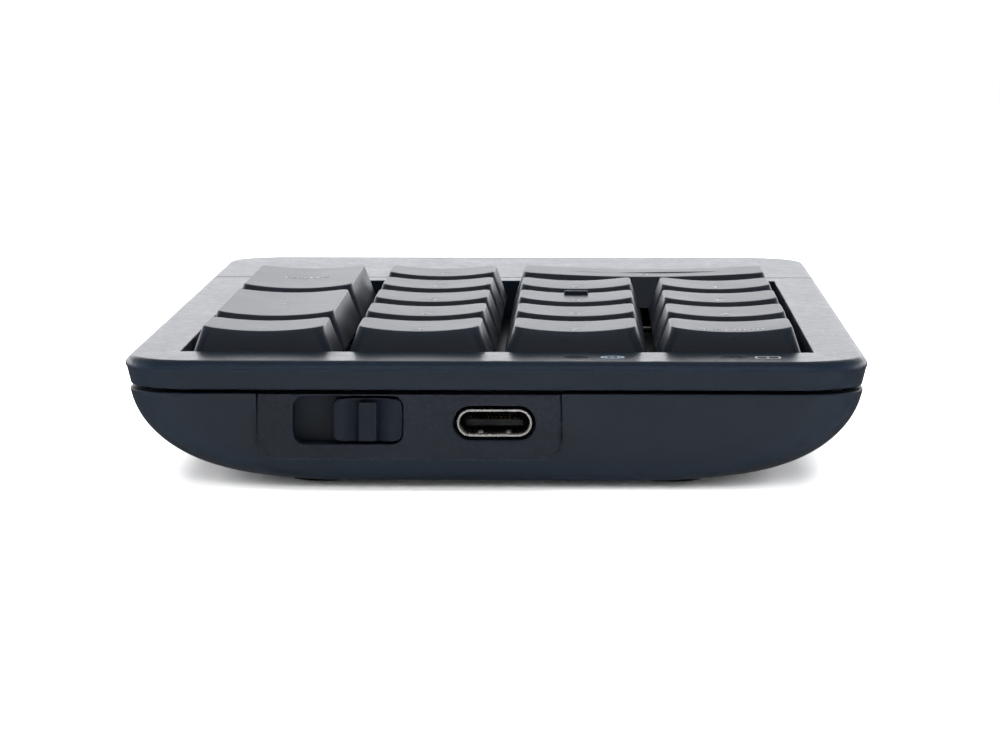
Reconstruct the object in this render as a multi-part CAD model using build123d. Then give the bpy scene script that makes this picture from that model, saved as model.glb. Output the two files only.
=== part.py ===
from build123d import *
import math
import os

# A wireless numeric keypad: seventeen low-profile keys in a two-part case, with a plain
# deck strip on the user's side and the ports on the far side.
# Frame: X to the user's right, Y away from the user (the ports face +Y), Z up.
# The origin is on the desk, under the middle of the case. Sizes are in millimetres.

os.makedirs("parts", exist_ok=True)

# ---- Key field ----
key_pitch = 19.05  # centre to centre of neighbouring keys
columns = 4
rows = 5
key_gap = 1.05  # between the skirts of neighbouring keycaps
well_margin_x = 0.25  # case opening beyond the outer key cells, each side
well_margin_y = 0.675

# ---- Case plan ----
side_border = 6.35  # from the key well to the outer line of the case
rear_border = 10.9
front_border = 5.4  # from the key well to the seam of the deck panel
deck_depth = 37.1  # from that seam to the user's edge
corner_radius = 8.6

# ---- Case heights, up from the desk ----
foot_stand = 1.0  # how far the rubber feet lift the case
seam_gap = 0.45  # dark groove between the two case halves
band_height = 2.25  # smooth band above that groove
roll_height = 1.2  # rolled edge from the band up to the top face
roll_radius = 1.15

# ---- Case shape and walls ----
rim_inset = 0.55  # the lower rim stands back from the widest line
band_step = 0.12  # witness line under the rolled edge
band_draft = 14.0  # degrees
belly_draft_side = 1.6  # straight part of the belly's inset
belly_reach_side = 14.0  # elliptical part of the belly's inset
belly_draft_end = 0.9
belly_reach_end = 3.4
belly_corner_growth = 5.0  # corner radius added at the underside
belly_steps = 8
shell_wall = 1.8
shell_floor = 1.8
rib_thickness = 0.7
cover_plate = 1.8
rib_drop = 1.45  # locating rib of the cover, below the cover's lower edge
rib_clearance = 0.35
lip_wall = 1.2  # wall round the key well
deck_panel_gap = 0.25  # open seam at the deck panel
ledge_reach = 1.5  # the deck panel's ledge runs on behind the seam

# ---- Electronics stack ----
board_standoff = 2.7
board_thickness = 1.25
board_side_gap = 1.1  # the board is narrower than the key cells, each side
board_front_margin = 3.5  # board beyond the key well on the user's side
board_clearance = 0.2
board_corner_radius = 5.0
plate_thickness = 1.2
plate_overlap = 1.4  # switch plate beyond the key well
lip_clearance = 0.1
seat_clearance = 0.05  # pieces that stay put in each other

# ---- Switches ----
travel = 3.0
switch_width = 13.6
switch_depth = 12.8
switch_hole_clearance = 0.1
flange_lip = 0.7  # flange beyond the switch, each side
flange_height = 0.8
top_depth = 12.0
top_height = 1.5
top_roof = 0.7
top_edge = 0.3
base_floor = 0.7
stem_width = 10.4
stem_depth = 4.6
stem_clearance = 0.2
foot_width = 11.0
foot_depth = 6.6
foot_height = 1.0
foot_headroom = 0.05
foot_clearance = 0.2  # stem's foot above the socket floor when pressed
stem_spare = 0.05  # stem above the switch top when pressed
skirt_clearance = 0.5  # keycap above the switch plate when pressed
spring_bore_radius = 1.7
spring_radius = 1.35
spring_wire_radius = 0.15
spring_turns = 5.5
spring_end_gap = 0.02
bore_roof = 2.45  # solid part of the stem above the spring
post_radius = 1.7
post_length = 1.85
pin_radius = 0.45
pin_length = 2.05
pin_clearance = 0.1
pin_places = ((0, 5.2), (5.0, 3.8))  # the two contact pins, from the switch's middle

# ---- Keycaps ----
cap_height = 5.0  # skirt to the corners of the top
cap_rise = 2.8  # corners of the top above the case
cap_taper_side = 1.6
cap_taper_rear = 1.7
cap_taper_front = 3.9
cap_wall = 1.0
cap_roof = 1.3  # under the lowest part of the dish
cap_dish = 0.6
cap_base_radius = 1.1
cap_top_radius = 1.5
cap_edge_radius = 0.3
cap_least_corner = 0.4  # inside the walls
prong_spacing = 7.2
prong_width = 1.2
prong_depth = 3.0
prong_length = 2.6
prong_clearance = 0.05
prong_end_gap = 0.2
pad_margin = 0.6  # pad beyond the prongs
pad_depth = 4.2
homing_bar_width = 3.2
homing_bar_depth = 0.85
homing_bar_height = 0.55
homing_bar_edge = 0.25
homing_bar_offset = 4.5  # from the middle of the key's top, towards the user

# ---- Stabilizers of the two-unit keys ----
wire_radius = 0.35
wire_half_span = 12.0
wire_hook = 2.4
wire_arm = 6.2
wire_offset = 6.9  # pivot from the middle of the key
wire_height = 0.55  # pivot above the switch plate
wire_bend = 0.8
wire_slot_margin = 0.5  # hole in the switch plate round the wire's arm and the keycap's boss
wire_slot_front = 2.3
wire_slot_rear = 0.2
hook_clearance = 0.2
clip_place = 9.8
clip_width = 1.8
clip_depth = 1.85
clip_height = 1.3
clip_rear = 0.65  # clip beyond the wire's axis
clip_clearance = 0.07
boss_wall = 0.7
boss_width = 1.85
boss_gap = 0.4  # between the wire's arm and the keycap's boss

# ---- Port panel, USB-C socket and power switch ----
panel_width = 36.2
panel_height = 7.9
panel_thickness = 2.4
panel_shift = 10.15  # panel's middle from the middle of the case
panel_radius = 2.5
panel_bevel = 0.35
panel_clearance = 0.05
panel_top_gap = 0.1
backing_wall = 1.45
backing_margin = 3.0
usb_width = 8.94
usb_height = 3.26
usb_wall = 0.3
usb_length = 7.3
usb_recess = 0.45
usb_cutout_margin = 0.43
usb_window_margin = 0.25
tongue_width = 6.7
tongue_height = 0.7
tongue_setback = 0.6
usb_block = 1.2
slot_width = 13.1
slot_height = 5.8
slot_shift = 17.35  # slot's middle from the middle of the case
slot_rise = 1.99  # slot's middle above the top of the board
slot_radius = 1.4
knob_width = 8.3
knob_height = 5.1
knob_radius = 1.0
knob_end_gap = 0.1
knob_back_gap = 0.1
knob_setback = 0.05
knob_edge = 0.25
knob_rib = 2.05
knob_rib_drop = 0.45
scoop_depth = 0.75
scoop_width = 2.1
lever_width = 1.4
lever_height = 1.4
lever_reach = 1.1  # lever inside the knob
lever_window_margin = 0.4
lever_slot_margin = 0.3
slider_width = 4.0
slider_depth = 2.4
slider_height = 2.2
slider_gap = 0.2
can_width = 12.6
can_depth = 4.2
can_height = 3.85
can_wall = 0.4
can_gap = 0.5  # switch can to the backing wall

# ---- Battery, lights, chip, screws and feet ----
battery_width = 47.0
battery_height = 5.8
battery_edge = 2.4
battery_clearance = 0.3
battery_lift = 0.2
battery_setback = 5.3  # battery from the deck seam
tray_wall = 1.0
tray_height = 3.0
lead_way_margin = 1.0  # gap in the tray's wall for the leads
lead_way_sill = 1.5
lead_radius = 0.6
lead_spacing = 2.4
connector_width = 6.0
connector_depth = 4.0
connector_height = 1.9
connector_shift = 15.0
connector_setback = 0.5  # from the board's front edge
light_places = (-9.6, -28.4)
light_width = 3.0
light_depth = 2.6
light_radius = 1.2
light_flange = 0.5
light_flange_height = 0.6
led_width = 2.0
led_depth = 1.6
led_height = 0.8
led_gap = 0.25
led_setback = 0.2  # from the board's rear edge
chip_size = 7.0
chip_height = 0.9
screw_radius = 1.0
screw_head_radius = 1.9
screw_head_height = 1.4
screw_seat = 2.2  # screw seat above the underside
screw_bite = 4.0  # screw inside the cover's boss
screw_drive = 2.2
screw_drive_width = 0.6
boss_radius = 2.8
screw_seam_setback = 2.2  # middle screws from the deck seam
screw_front_setback = 9.0  # front screws from the user's edge
screw_front_x = 15.0
screw_usb_gap = 0.6  # rear screw's boss to the USB-C socket
screw_light_side = -19.0  # rear screw between the light windows
screw_edge = 0.4  # screw's recess to the curve of the underside
screw_clearance = 0.1
screw_head_clearance = 0.3
screw_head_edge = 0.4
screw_drive_depth = 0.7
screw_thread_gap = 0.02
boss_split = 0.1
boss_clearance = 0.3  # board to the screw bosses
support_radius = 2.0  # posts under the board
support_front = 5.0  # from the board's front edge
support_rear = 9.0  # from the board's rear edge
edge_rib_gap = 0.8  # ribs that carry the switch plate, from the board's edge
edge_rib_width = 6.0
case_clearance = 0.2  # lower case to the pieces that hang from the cover
rubber_radius = 4.5
rubber_sink = 0.6
rubber_clearance = 0.1
rubber_edge = 0.4
rubber_place_x = 21.0
rubber_place_end = 15.0  # foot's middle from the case's end

# ---- Building allowances ----
beyond = 1.0  # cutting forms run this far past a surface
overlap = 0.5  # joined forms run this far into each other
hair = 0.01  # keeps full rounds a little short of a half circle
least_corner = 1.0

# ---- Worked out from the sizes above ----
well_width = columns * key_pitch + 2 * well_margin_x
well_depth = rows * key_pitch + 2 * well_margin_y
case_width = well_width + 2 * side_border
case_depth = rear_border + well_depth + front_border + deck_depth
rear_y = case_depth / 2
front_y = -case_depth / 2
well_rear_y = rear_y - rear_border
well_y = well_rear_y - well_depth / 2
well_front_y = well_rear_y - well_depth
deck_seam_y = well_front_y - front_border

# Heights, built up from the floor of the case through the switches to the keycaps. The case's
# top follows the keycaps, and its lower half fills what is left.
floor_z = foot_stand + shell_floor
board_low_z = floor_z + board_standoff
board_z = board_low_z + board_thickness
switch_inside = base_floor + foot_clearance + travel + foot_height + foot_headroom + top_roof
plate_rise = switch_inside - top_height - flange_height - plate_thickness
plate_low_z = board_z + plate_rise
plate_z = plate_low_z + plate_thickness
flange_z = plate_z + flange_height
switch_z = flange_z + top_height
stem_z = switch_z + travel + stem_spare
foot_z = switch_z - top_roof - foot_headroom
socket_floor_z = board_z + base_floor

cap_low_z = plate_z + travel + skirt_clearance
cap_top_z = cap_low_z + cap_height
dish_z = cap_top_z - cap_dish
cap_ceiling_z = dish_z - cap_roof

top_z = cap_top_z - cap_rise
witness_z = top_z - roll_height
cover_low_z = witness_z - band_height
rim_z = cover_low_z - seam_gap
belly_height = rim_z - foot_stand
cover_under_z = top_z - cover_plate
rib_low_z = cover_low_z - rib_drop
cover_wall = rim_inset + shell_wall + rib_clearance + rib_thickness
light_setback = cover_wall + seat_clearance + light_flange + light_depth / 2
recess_radius = screw_head_radius + screw_head_clearance
flat_inset = rim_inset + belly_draft_end + belly_reach_end  # the flat underside from the case's rear line
screw_rear_setback = max(flat_inset + recess_radius + screw_edge, cover_wall + case_clearance + boss_radius)
battery_depth = (deck_depth - battery_setback - battery_clearance - tray_wall - boss_radius
                 - screw_front_setback)
battery_shift = battery_setback + battery_depth / 2
flange_width = switch_width + 2 * flange_lip
board_width = columns * key_pitch - 2 * board_side_gap

rim_rear_y = rear_y - rim_inset
panel_back_y = rim_rear_y - panel_thickness
backing_y = panel_back_y - backing_wall
board_rear_y = backing_y - board_clearance
board_front_y = well_front_y - board_front_margin
plate_depth = well_depth + 2 * plate_overlap
plate_width = well_width + 2 * plate_overlap
panel_top_z = rim_z - panel_top_gap
usb_z = board_z + usb_height / 2
usb_front_y = rim_rear_y - usb_recess
usb_back_y = usb_front_y - usb_length
slot_z = board_z + slot_rise
knob_travel = slot_width - knob_width - 2 * knob_end_gap
knob_x = slot_shift - knob_travel / 2
can_front_y = backing_y - can_gap
wire_swing = math.asin(travel / 2 / wire_arm)  # each side of level, in radians

screw_x = battery_width / 2 + battery_clearance + boss_radius
screw_rear_y = rear_y - screw_rear_setback
screw_seam_y = deck_seam_y - screw_seam_setback
screw_front_y = front_y + screw_front_setback
screw_places = (
    (usb_width / 2 + screw_usb_gap + boss_radius, screw_rear_y),
    (screw_light_side, screw_rear_y),
    (screw_x, screw_seam_y),
    (-screw_x, screw_seam_y),
    (screw_front_x, screw_front_y),
    (-screw_front_x, screw_front_y),
)

# Each key: name, column and row of its middle (row 0 is furthest from the user), width and
# depth in key units.
keys = (
    ("num", 0, 0, 1, 1),
    ("divide", 1, 0, 1, 1),
    ("multiply", 2, 0, 1, 1),
    ("minus", 3, 0, 1, 1),
    ("seven", 0, 1, 1, 1),
    ("eight", 1, 1, 1, 1),
    ("nine", 2, 1, 1, 1),
    ("four", 0, 2, 1, 1),
    ("five", 1, 2, 1, 1),
    ("six", 2, 2, 1, 1),
    ("plus", 3, 1.5, 1, 2),
    ("one", 0, 3, 1, 1),
    ("two", 1, 3, 1, 1),
    ("three", 2, 3, 1, 1),
    ("enter", 3, 3.5, 1, 2),
    ("zero", 0.5, 4, 2, 1),
    ("decimal", 2, 4, 1, 1),
)


def key_place(column, row):
    """Middle of a key in the case."""
    x = (column - (columns - 1) / 2) * key_pitch
    y = well_y + ((rows - 1) / 2 - row) * key_pitch
    return x, y


def switch_turn(depth_units):
    """The switch of a key that is long in Y is turned, so its stabilizer lies along the key."""
    return 90 if depth_units > 1 else 0


def at_each_key(piece):
    """Copies of a switch piece under all the keys."""
    copies = []
    for name, column, row, width_units, depth_units in keys:
        x, y = key_place(column, row)
        copies.append(Pos(x, y, 0) * Rot(0, 0, switch_turn(depth_units)) * piece)
    return copies


def long_keys():
    """Name and place of each key that has a stabilizer."""
    found = []
    for name, column, row, width_units, depth_units in keys:
        if width_units + depth_units > 2:
            x, y = key_place(column, row)
            found.append((name, Pos(x, y, 0) * Rot(0, 0, switch_turn(depth_units))))
    return found


def block(x_low, x_high, y_low, y_high, z_low, z_high):
    """A box between six planes."""
    middle = Pos((x_low + x_high) / 2, (y_low + y_high) / 2, (z_low + z_high) / 2)
    return middle * Box(x_high - x_low, y_high - y_low, z_high - z_low)


def centred_block(width, depth, z_low, z_high, x=0, y=0):
    """A box about a vertical line."""
    return block(x - width / 2, x + width / 2, y - depth / 2, y + depth / 2, z_low, z_high)


def post(radius, z_low, z_high, x=0, y=0):
    """An upright cylinder."""
    return Pos(x, y, (z_low + z_high) / 2) * Cylinder(radius, z_high - z_low)


def case_outline(inset, z):
    """Plan outline of the case, stood in from its widest line."""
    radius = max(corner_radius - inset, least_corner)
    return Pos(0, 0, z) * RectangleRounded(case_width - 2 * inset, case_depth - 2 * inset, radius)


def case_prism(inset, z_low, z_high):
    """The case outline as an upright prism."""
    return extrude(case_outline(inset, z_low), z_high - z_low)


def belly(wall, low_z):
    """The lower case's form down to low_z: drafted walls that turn under in an ellipse."""
    steepest = math.asin((rim_z - low_z) / belly_height)
    sections = []
    for step in range(belly_steps + 1):
        angle = steepest * step / belly_steps
        sink = math.sin(angle)
        turn = 1 - math.cos(angle)
        inset_x = rim_inset + wall + belly_draft_side * sink + belly_reach_side * turn
        inset_y = rim_inset + wall + belly_draft_end * sink + belly_reach_end * turn
        radius = corner_radius - rim_inset - wall + belly_corner_growth * turn
        outline = RectangleRounded(case_width - 2 * inset_x, case_depth - 2 * inset_y, radius)
        sections.append(Pos(0, 0, rim_z - belly_height * sink) * outline)
    return loft(sections)


def panel_face(grow, y):
    """Upright face of the port panel: square at the rim, rounded below."""
    height = panel_height + grow
    face = RectangleRounded(panel_width + 2 * grow, 2 * height, panel_radius + grow)
    keep = Pos(0, -height / 2) * Rectangle(panel_width + 2 * grow, height)
    turned = Plane((panel_shift, y, panel_top_z), x_dir=(-1, 0, 0), z_dir=(0, 1, 0))
    return turned * (face & keep)


def upright_slot(width, height, radius, x, z, y_low, y_high):
    """A rounded rectangular prism that runs along Y."""
    radius = min(radius, height / 2 - hair)
    face = Plane((x, y_low, z), x_dir=(-1, 0, 0), z_dir=(0, 1, 0)) * RectangleRounded(width, height, radius)
    return extrude(face, y_high - y_low)


def lever_window(margin, y_low, y_high):
    """The opening that the slide switch's lever moves in."""
    return block(knob_x - lever_width / 2 - margin, knob_x + knob_travel + lever_width / 2 + margin,
                 y_low, y_high, slot_z - lever_height / 2 - margin, slot_z + lever_height / 2 + margin)


def make_bottom_shell():
    outer = belly(0, foot_stand)
    shell = outer - belly(shell_wall, floor_z)
    x_low = panel_shift - panel_width / 2 - backing_margin
    x_high = panel_shift + panel_width / 2 + backing_margin
    inner = block(x_low, x_high, backing_y, rear_y, foot_stand, rim_z)
    for x, y in screw_places:
        inner += post(boss_radius, foot_stand, plate_low_z - boss_split, x, y)
    for y in (board_front_y + support_front, well_y, board_rear_y - support_rear):
        for x in (-key_pitch, key_pitch):
            inner += post(support_radius, foot_stand, board_low_z, x, y)
    for y in (well_y - 2 * key_pitch, well_y, well_y + 2 * key_pitch):
        for side in (-1, 1):
            near = side * (board_width / 2 + edge_rib_gap)
            far = side * case_width / 2
            inner += block(min(near, far), max(near, far), y - edge_rib_width / 2, y + edge_rib_width / 2,
                           foot_stand, plate_low_z)
    tray_y = deck_seam_y - battery_shift
    tray_inner_x = battery_width + 2 * battery_clearance
    tray_inner_y = battery_depth + 2 * battery_clearance
    tray = centred_block(tray_inner_x + 2 * tray_wall, tray_inner_y + 2 * tray_wall,
                         floor_z - overlap, floor_z + tray_height, 0, tray_y)
    tray -= centred_block(tray_inner_x, tray_inner_y, floor_z - overlap, floor_z + tray_height, 0, tray_y)
    lead_way = connector_width + 2 * lead_way_margin
    tray -= centred_block(lead_way, 2 * tray_wall, floor_z + lead_way_sill, floor_z + tray_height,
                          connector_shift, tray_y + tray_inner_y / 2 + tray_wall / 2)
    for x, y in screw_places:
        inner -= post(boss_radius + case_clearance, plate_low_z - boss_split, rim_z + beyond, x, y)
    for x in light_places:
        inner -= centred_block(light_width + 2 * case_clearance, light_depth + 2 * case_clearance,
                               board_z, rim_z + beyond, x, rear_y - light_setback)
    shell += (inner + tray) & outer
    shell -= extrude(panel_face(panel_clearance, panel_back_y - panel_clearance),
                     panel_thickness + rim_inset + beyond)
    shell -= block(panel_shift - panel_width / 2 - panel_clearance,
                   panel_shift + panel_width / 2 + panel_clearance,
                   panel_back_y - panel_clearance, rear_y + beyond, panel_top_z - hair, rim_z + beyond)
    window = usb_window_margin
    shell -= upright_slot(usb_width + 2 * window, usb_height + 2 * window, usb_height,
                          0, usb_z, backing_y - beyond, rear_y)
    shell -= lever_window(lever_window_margin, backing_y - beyond, rear_y)
    for x, y in screw_places:
        shell -= post(screw_radius + screw_clearance, foot_stand - beyond, rim_z, x, y)
        shell -= post(recess_radius, foot_stand - beyond, foot_stand + screw_seat, x, y)
    for x, y in rubber_places():
        shell -= post(rubber_radius + rubber_clearance, foot_stand - beyond, foot_stand + rubber_sink, x, y)
    return shell


def rubber_places():
    """Middle of each rubber foot."""
    y = case_depth / 2 - rubber_place_end
    return [(x, side * y) for x in (-rubber_place_x, rubber_place_x) for side in (-1, 1)]


def make_rolled_top():
    """The case's top slab with its rolled edge, before it is split at the deck seam."""
    slab = case_prism(0, witness_z, top_z)
    return fillet(slab.faces().sort_by(Axis.Z)[-1].edges(), roll_radius)


def make_top_cover():
    band = extrude(case_outline(band_step, witness_z), band_height, dir=(0, 0, -1), taper=band_draft)
    rib = case_prism(rim_inset + shell_wall + rib_clearance, rib_low_z, cover_low_z)
    cover = make_rolled_top() + band + rib
    cover -= case_prism(cover_wall, rib_low_z, cover_under_z)
    ledge = case_prism(cover_wall - overlap, cover_under_z - roll_height, witness_z)
    cover += ledge & block(-case_width, case_width, front_y, deck_seam_y + ledge_reach, 0, top_z)
    cover -= block(-case_width, case_width, front_y - beyond, deck_seam_y, witness_z, top_z + beyond)
    x_low = panel_shift - panel_width / 2 - backing_margin - beyond
    x_high = panel_shift + panel_width / 2 + backing_margin + beyond
    cover -= block(x_low, x_high, rear_y - cover_wall - beyond, rear_y, rib_low_z - beyond, cover_low_z)
    lip = centred_block(well_width + 2 * lip_wall, well_depth + 2 * lip_wall,
                        plate_z + lip_clearance, cover_under_z, 0, well_y)
    cover += lip
    for x, y in screw_places:
        cover += post(boss_radius, plate_low_z, cover_under_z - overlap, x, y)
    for x, y in screw_places:
        cover -= post(screw_radius, plate_low_z - beyond, plate_low_z + screw_bite + overlap, x, y)
    cover -= centred_block(well_width, well_depth, 0, top_z + beyond, 0, well_y)
    for x in light_places:
        window = RectangleRounded(light_width + 2 * seat_clearance, light_depth + 2 * seat_clearance,
                                  light_radius)
        cover -= extrude(Pos(x, rear_y - light_setback, rib_low_z) * window, top_z)
    return cover


def make_front_deck_panel():
    panel = make_rolled_top()
    return panel & block(-case_width, case_width, front_y - beyond, deck_seam_y - deck_panel_gap,
                         witness_z, top_z + beyond)


def make_rear_port_panel():
    panel = extrude(panel_face(0, panel_back_y), panel_thickness)
    front_edges = panel.faces().sort_by(Axis.Y)[-1].edges()
    panel = chamfer(front_edges.filter_by(lambda e: e.center().Z < panel_top_z - hair), panel_bevel)
    margin = usb_cutout_margin
    panel -= upright_slot(usb_width + 2 * margin, usb_height + 2 * margin, usb_height,
                          0, usb_z, panel_back_y - beyond, rear_y)
    return panel - upright_slot(slot_width, slot_height, slot_radius, slot_shift, slot_z,
                                panel_back_y - beyond, rear_y)


def make_switch_plate():
    plate = centred_block(plate_width, plate_depth, plate_low_z, plate_z, 0, well_y)
    hole = centred_block(switch_width + 2 * switch_hole_clearance, switch_depth + 2 * switch_hole_clearance,
                         plate_low_z - beyond, plate_z + beyond)
    for cut in at_each_key(hole):
        plate -= cut
    reach = wire_half_span + wire_radius + boss_gap + boss_width + wire_slot_margin
    for name, place in long_keys():
        for side in (-1, 1):
            near = side * (wire_half_span - wire_radius - wire_slot_margin)
            far = side * reach
            plate -= place * block(min(near, far), max(near, far), wire_offset - wire_arm - wire_slot_front,
                                   wire_offset + wire_slot_rear, plate_low_z - beyond, plate_z + beyond)
    for x, y in screw_places:
        plate -= post(boss_radius + case_clearance, plate_low_z - beyond, plate_z + beyond, x, y)
    return plate


def make_main_board():
    board = block(-board_width / 2, board_width / 2, board_front_y, board_rear_y, board_low_z, board_z)
    board = fillet(board.edges().filter_by(Axis.Z), board_corner_radius)
    holes = post(post_radius + pin_clearance, board_low_z - beyond, board_z + beyond)
    for x, y in pin_places:
        holes += post(pin_radius + pin_clearance, board_low_z - beyond, board_z + beyond, x, y)
    for cut in at_each_key(holes):
        board -= cut
    for x, y in screw_places:
        board -= post(boss_radius + boss_clearance, board_low_z - beyond, board_z + beyond, x, y)
    return board


def make_switch_base():
    base = centred_block(switch_width, switch_depth, board_z, plate_z)
    base += centred_block(flange_width, switch_depth, plate_z, flange_z)
    base -= centred_block(foot_width + 2 * stem_clearance, foot_depth + 2 * stem_clearance,
                          socket_floor_z, flange_z)
    base += post(post_radius, board_z - post_length, board_z)
    for x, y in pin_places:
        base += post(pin_radius, board_z - pin_length, board_z, x, y)
    return base


def make_switch_top():
    top = centred_block(switch_width, top_depth, flange_z, switch_z)
    top = chamfer(top.faces().sort_by(Axis.Z)[-1].edges(), top_edge)
    top -= centred_block(foot_width + 2 * stem_clearance, foot_depth + 2 * stem_clearance,
                         flange_z, switch_z - top_roof)
    top -= centred_block(stem_width + 2 * stem_clearance, stem_depth + 2 * stem_clearance,
                         flange_z, switch_z)
    return top


def make_stem():
    stem = centred_block(stem_width, stem_depth, foot_z - foot_height, stem_z)
    stem += centred_block(foot_width, foot_depth, foot_z - foot_height, foot_z)
    stem -= post(spring_bore_radius, foot_z - foot_height, stem_z - bore_roof)
    for side in (-1, 1):
        stem -= centred_block(prong_width + 2 * prong_clearance, prong_depth + 2 * prong_clearance,
                              stem_z - prong_length - prong_end_gap, stem_z, side * prong_spacing / 2)
    return stem


def make_spring():
    low = socket_floor_z + spring_wire_radius + spring_end_gap
    height = stem_z - bore_roof - spring_wire_radius - spring_end_gap - low
    line = Helix(height / spring_turns, height, spring_radius)
    wire = Plane(line @ 0, z_dir=line % 0) * Circle(spring_wire_radius)
    return Pos(0, 0, low) * sweep(wire, path=line)


def cap_form(width, depth, inset, z_low, z_high):
    """Tapered block of a keycap between two heights, stood in by a wall."""
    sections = []
    for z in (z_low, z_high):
        share = (z - cap_low_z) / cap_height
        rear = depth / 2 - inset - cap_taper_rear * share
        front = -depth / 2 + inset + cap_taper_front * share
        across = width - 2 * inset - 2 * cap_taper_side * share
        radius = max(cap_base_radius + (cap_top_radius - cap_base_radius) * share - inset / 2, cap_least_corner)
        face = RectangleRounded(across, rear - front, radius)
        sections.append(Pos(0, (rear + front) / 2, z) * face)
    return loft(sections, ruled=True)


def make_keycap(name, width_units, depth_units):
    width = width_units * key_pitch - key_gap
    depth = depth_units * key_pitch - key_gap
    half_top = width / 2 - cap_taper_side
    dish_radius = (half_top ** 2 + cap_dish ** 2) / (2 * cap_dish)
    cap = cap_form(width, depth, 0, cap_low_z, cap_top_z + overlap)
    cap -= Pos(0, 0, dish_z + dish_radius) * Rot(90, 0, 0) * Cylinder(dish_radius, 3 * depth)
    dish = cap.faces().filter_by(GeomType.CYLINDER).sort_by(SortBy.AREA)[-1]
    cap = fillet(dish.edges(), cap_edge_radius)
    if name == "five":
        bar_y = (cap_taper_front - cap_taper_rear) / 2 - homing_bar_offset
        bar = centred_block(homing_bar_width, homing_bar_depth, dish_z - overlap,
                            dish_z + homing_bar_height, 0, bar_y)
        cap += fillet(bar.faces().sort_by(Axis.Z)[-1].edges(), homing_bar_edge)
    cap -= cap_form(width, depth, cap_wall, cap_low_z, cap_ceiling_z)
    turned = Rot(0, 0, switch_turn(depth_units))
    inner = centred_block(prong_spacing + prong_width + 2 * pad_margin, pad_depth,
                          stem_z, cap_ceiling_z + overlap)
    for side in (-1, 1):
        inner += centred_block(prong_width, prong_depth, stem_z - prong_length, stem_z,
                               side * prong_spacing / 2)
    if width_units + depth_units > 2:
        for side in (-1, 1):
            inner += stabilizer_boss(side)
    return cap + turned * inner


def hook_point():
    """Where the stabilizer wire's hooked end is at rest: Y from the key's middle, and height."""
    y = wire_offset - wire_arm * math.cos(wire_swing)
    return y, plate_z + wire_height + wire_arm * math.sin(wire_swing)


def stabilizer_boss(side):
    """Boss under a long keycap, with the slot that the wire's hooked end slides in."""
    end_y, end_z = hook_point()
    sideways = wire_arm * (1 - math.cos(wire_swing))
    slot_y = end_y - sideways / 2
    slot_depth = 2 * wire_radius + sideways + 2 * hook_clearance
    slot_tall = 2 * wire_radius + 2 * hook_clearance
    near = wire_half_span + boss_gap + wire_radius
    x = side * (near + boss_width / 2)
    boss = centred_block(boss_width, slot_depth + 2 * boss_wall, end_z - slot_tall / 2 - boss_wall,
                         cap_ceiling_z + overlap, x, slot_y)
    return boss - centred_block(boss_width, slot_depth, end_z - slot_tall / 2, end_z + slot_tall / 2, x, slot_y)


def make_stabilizer_wire():
    end_y, end_z = hook_point()
    pivot_z = plate_z + wire_height
    tip = wire_half_span + wire_hook
    points = (
        (-tip, end_y, end_z),
        (-wire_half_span, end_y, end_z),
        (-wire_half_span, wire_offset, pivot_z),
        (wire_half_span, wire_offset, pivot_z),
        (wire_half_span, end_y, end_z),
        (tip, end_y, end_z),
    )
    line = FilletPolyline(*points, radius=wire_bend)
    return sweep(Plane(points[0], z_dir=(1, 0, 0)) * Circle(wire_radius), path=line)


def make_stabilizer_clip(side):
    clip = block(side * clip_place - clip_width / 2, side * clip_place + clip_width / 2,
                 wire_offset + clip_rear - clip_depth, wire_offset + clip_rear, plate_z, plate_z + clip_height)
    pivot = Pos(side * clip_place, wire_offset, plate_z + wire_height) * Rot(0, 90, 0)
    return clip - pivot * Cylinder(wire_radius + clip_clearance, 2 * clip_width)


def make_usb_shell():
    shell = upright_slot(usb_width, usb_height, usb_height, 0, usb_z, usb_back_y, usb_front_y)
    shell -= upright_slot(usb_width - 2 * usb_wall, usb_height - 2 * usb_wall, usb_height,
                          0, usb_z, usb_back_y + usb_wall, usb_front_y)
    return shell


def make_usb_tongue():
    inside = usb_back_y + usb_wall
    gap = usb_wall + seat_clearance
    tongue = upright_slot(usb_width - 2 * gap, usb_height - 2 * gap, usb_height,
                          0, usb_z, inside, inside + usb_block)
    return tongue + block(-tongue_width / 2, tongue_width / 2, inside, usb_front_y - tongue_setback,
                          usb_z - tongue_height / 2, usb_z + tongue_height / 2)


def make_slide_switch_can():
    x = slot_shift
    back_y = can_front_y - can_depth
    can = block(x - can_width / 2, x + can_width / 2, back_y, can_front_y, board_z, board_z + can_height)
    can -= block(x - can_width / 2 + can_wall, x + can_width / 2 - can_wall, back_y + can_wall,
                 can_front_y - can_wall, board_z, board_z + can_height - can_wall)
    return can - lever_window(lever_slot_margin, can_front_y - beyond, can_front_y + beyond)


def make_slide_switch_lever():
    slider_y = can_front_y - can_wall - slider_gap
    slider = block(knob_x - slider_width / 2, knob_x + slider_width / 2, slider_y - slider_depth, slider_y,
                   slot_z - slider_height / 2, slot_z + slider_height / 2)
    tip_y = panel_back_y + knob_back_gap + lever_reach
    return slider + block(knob_x - lever_width / 2, knob_x + lever_width / 2, slider_y - overlap, tip_y,
                          slot_z - lever_height / 2, slot_z + lever_height / 2)


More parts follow.
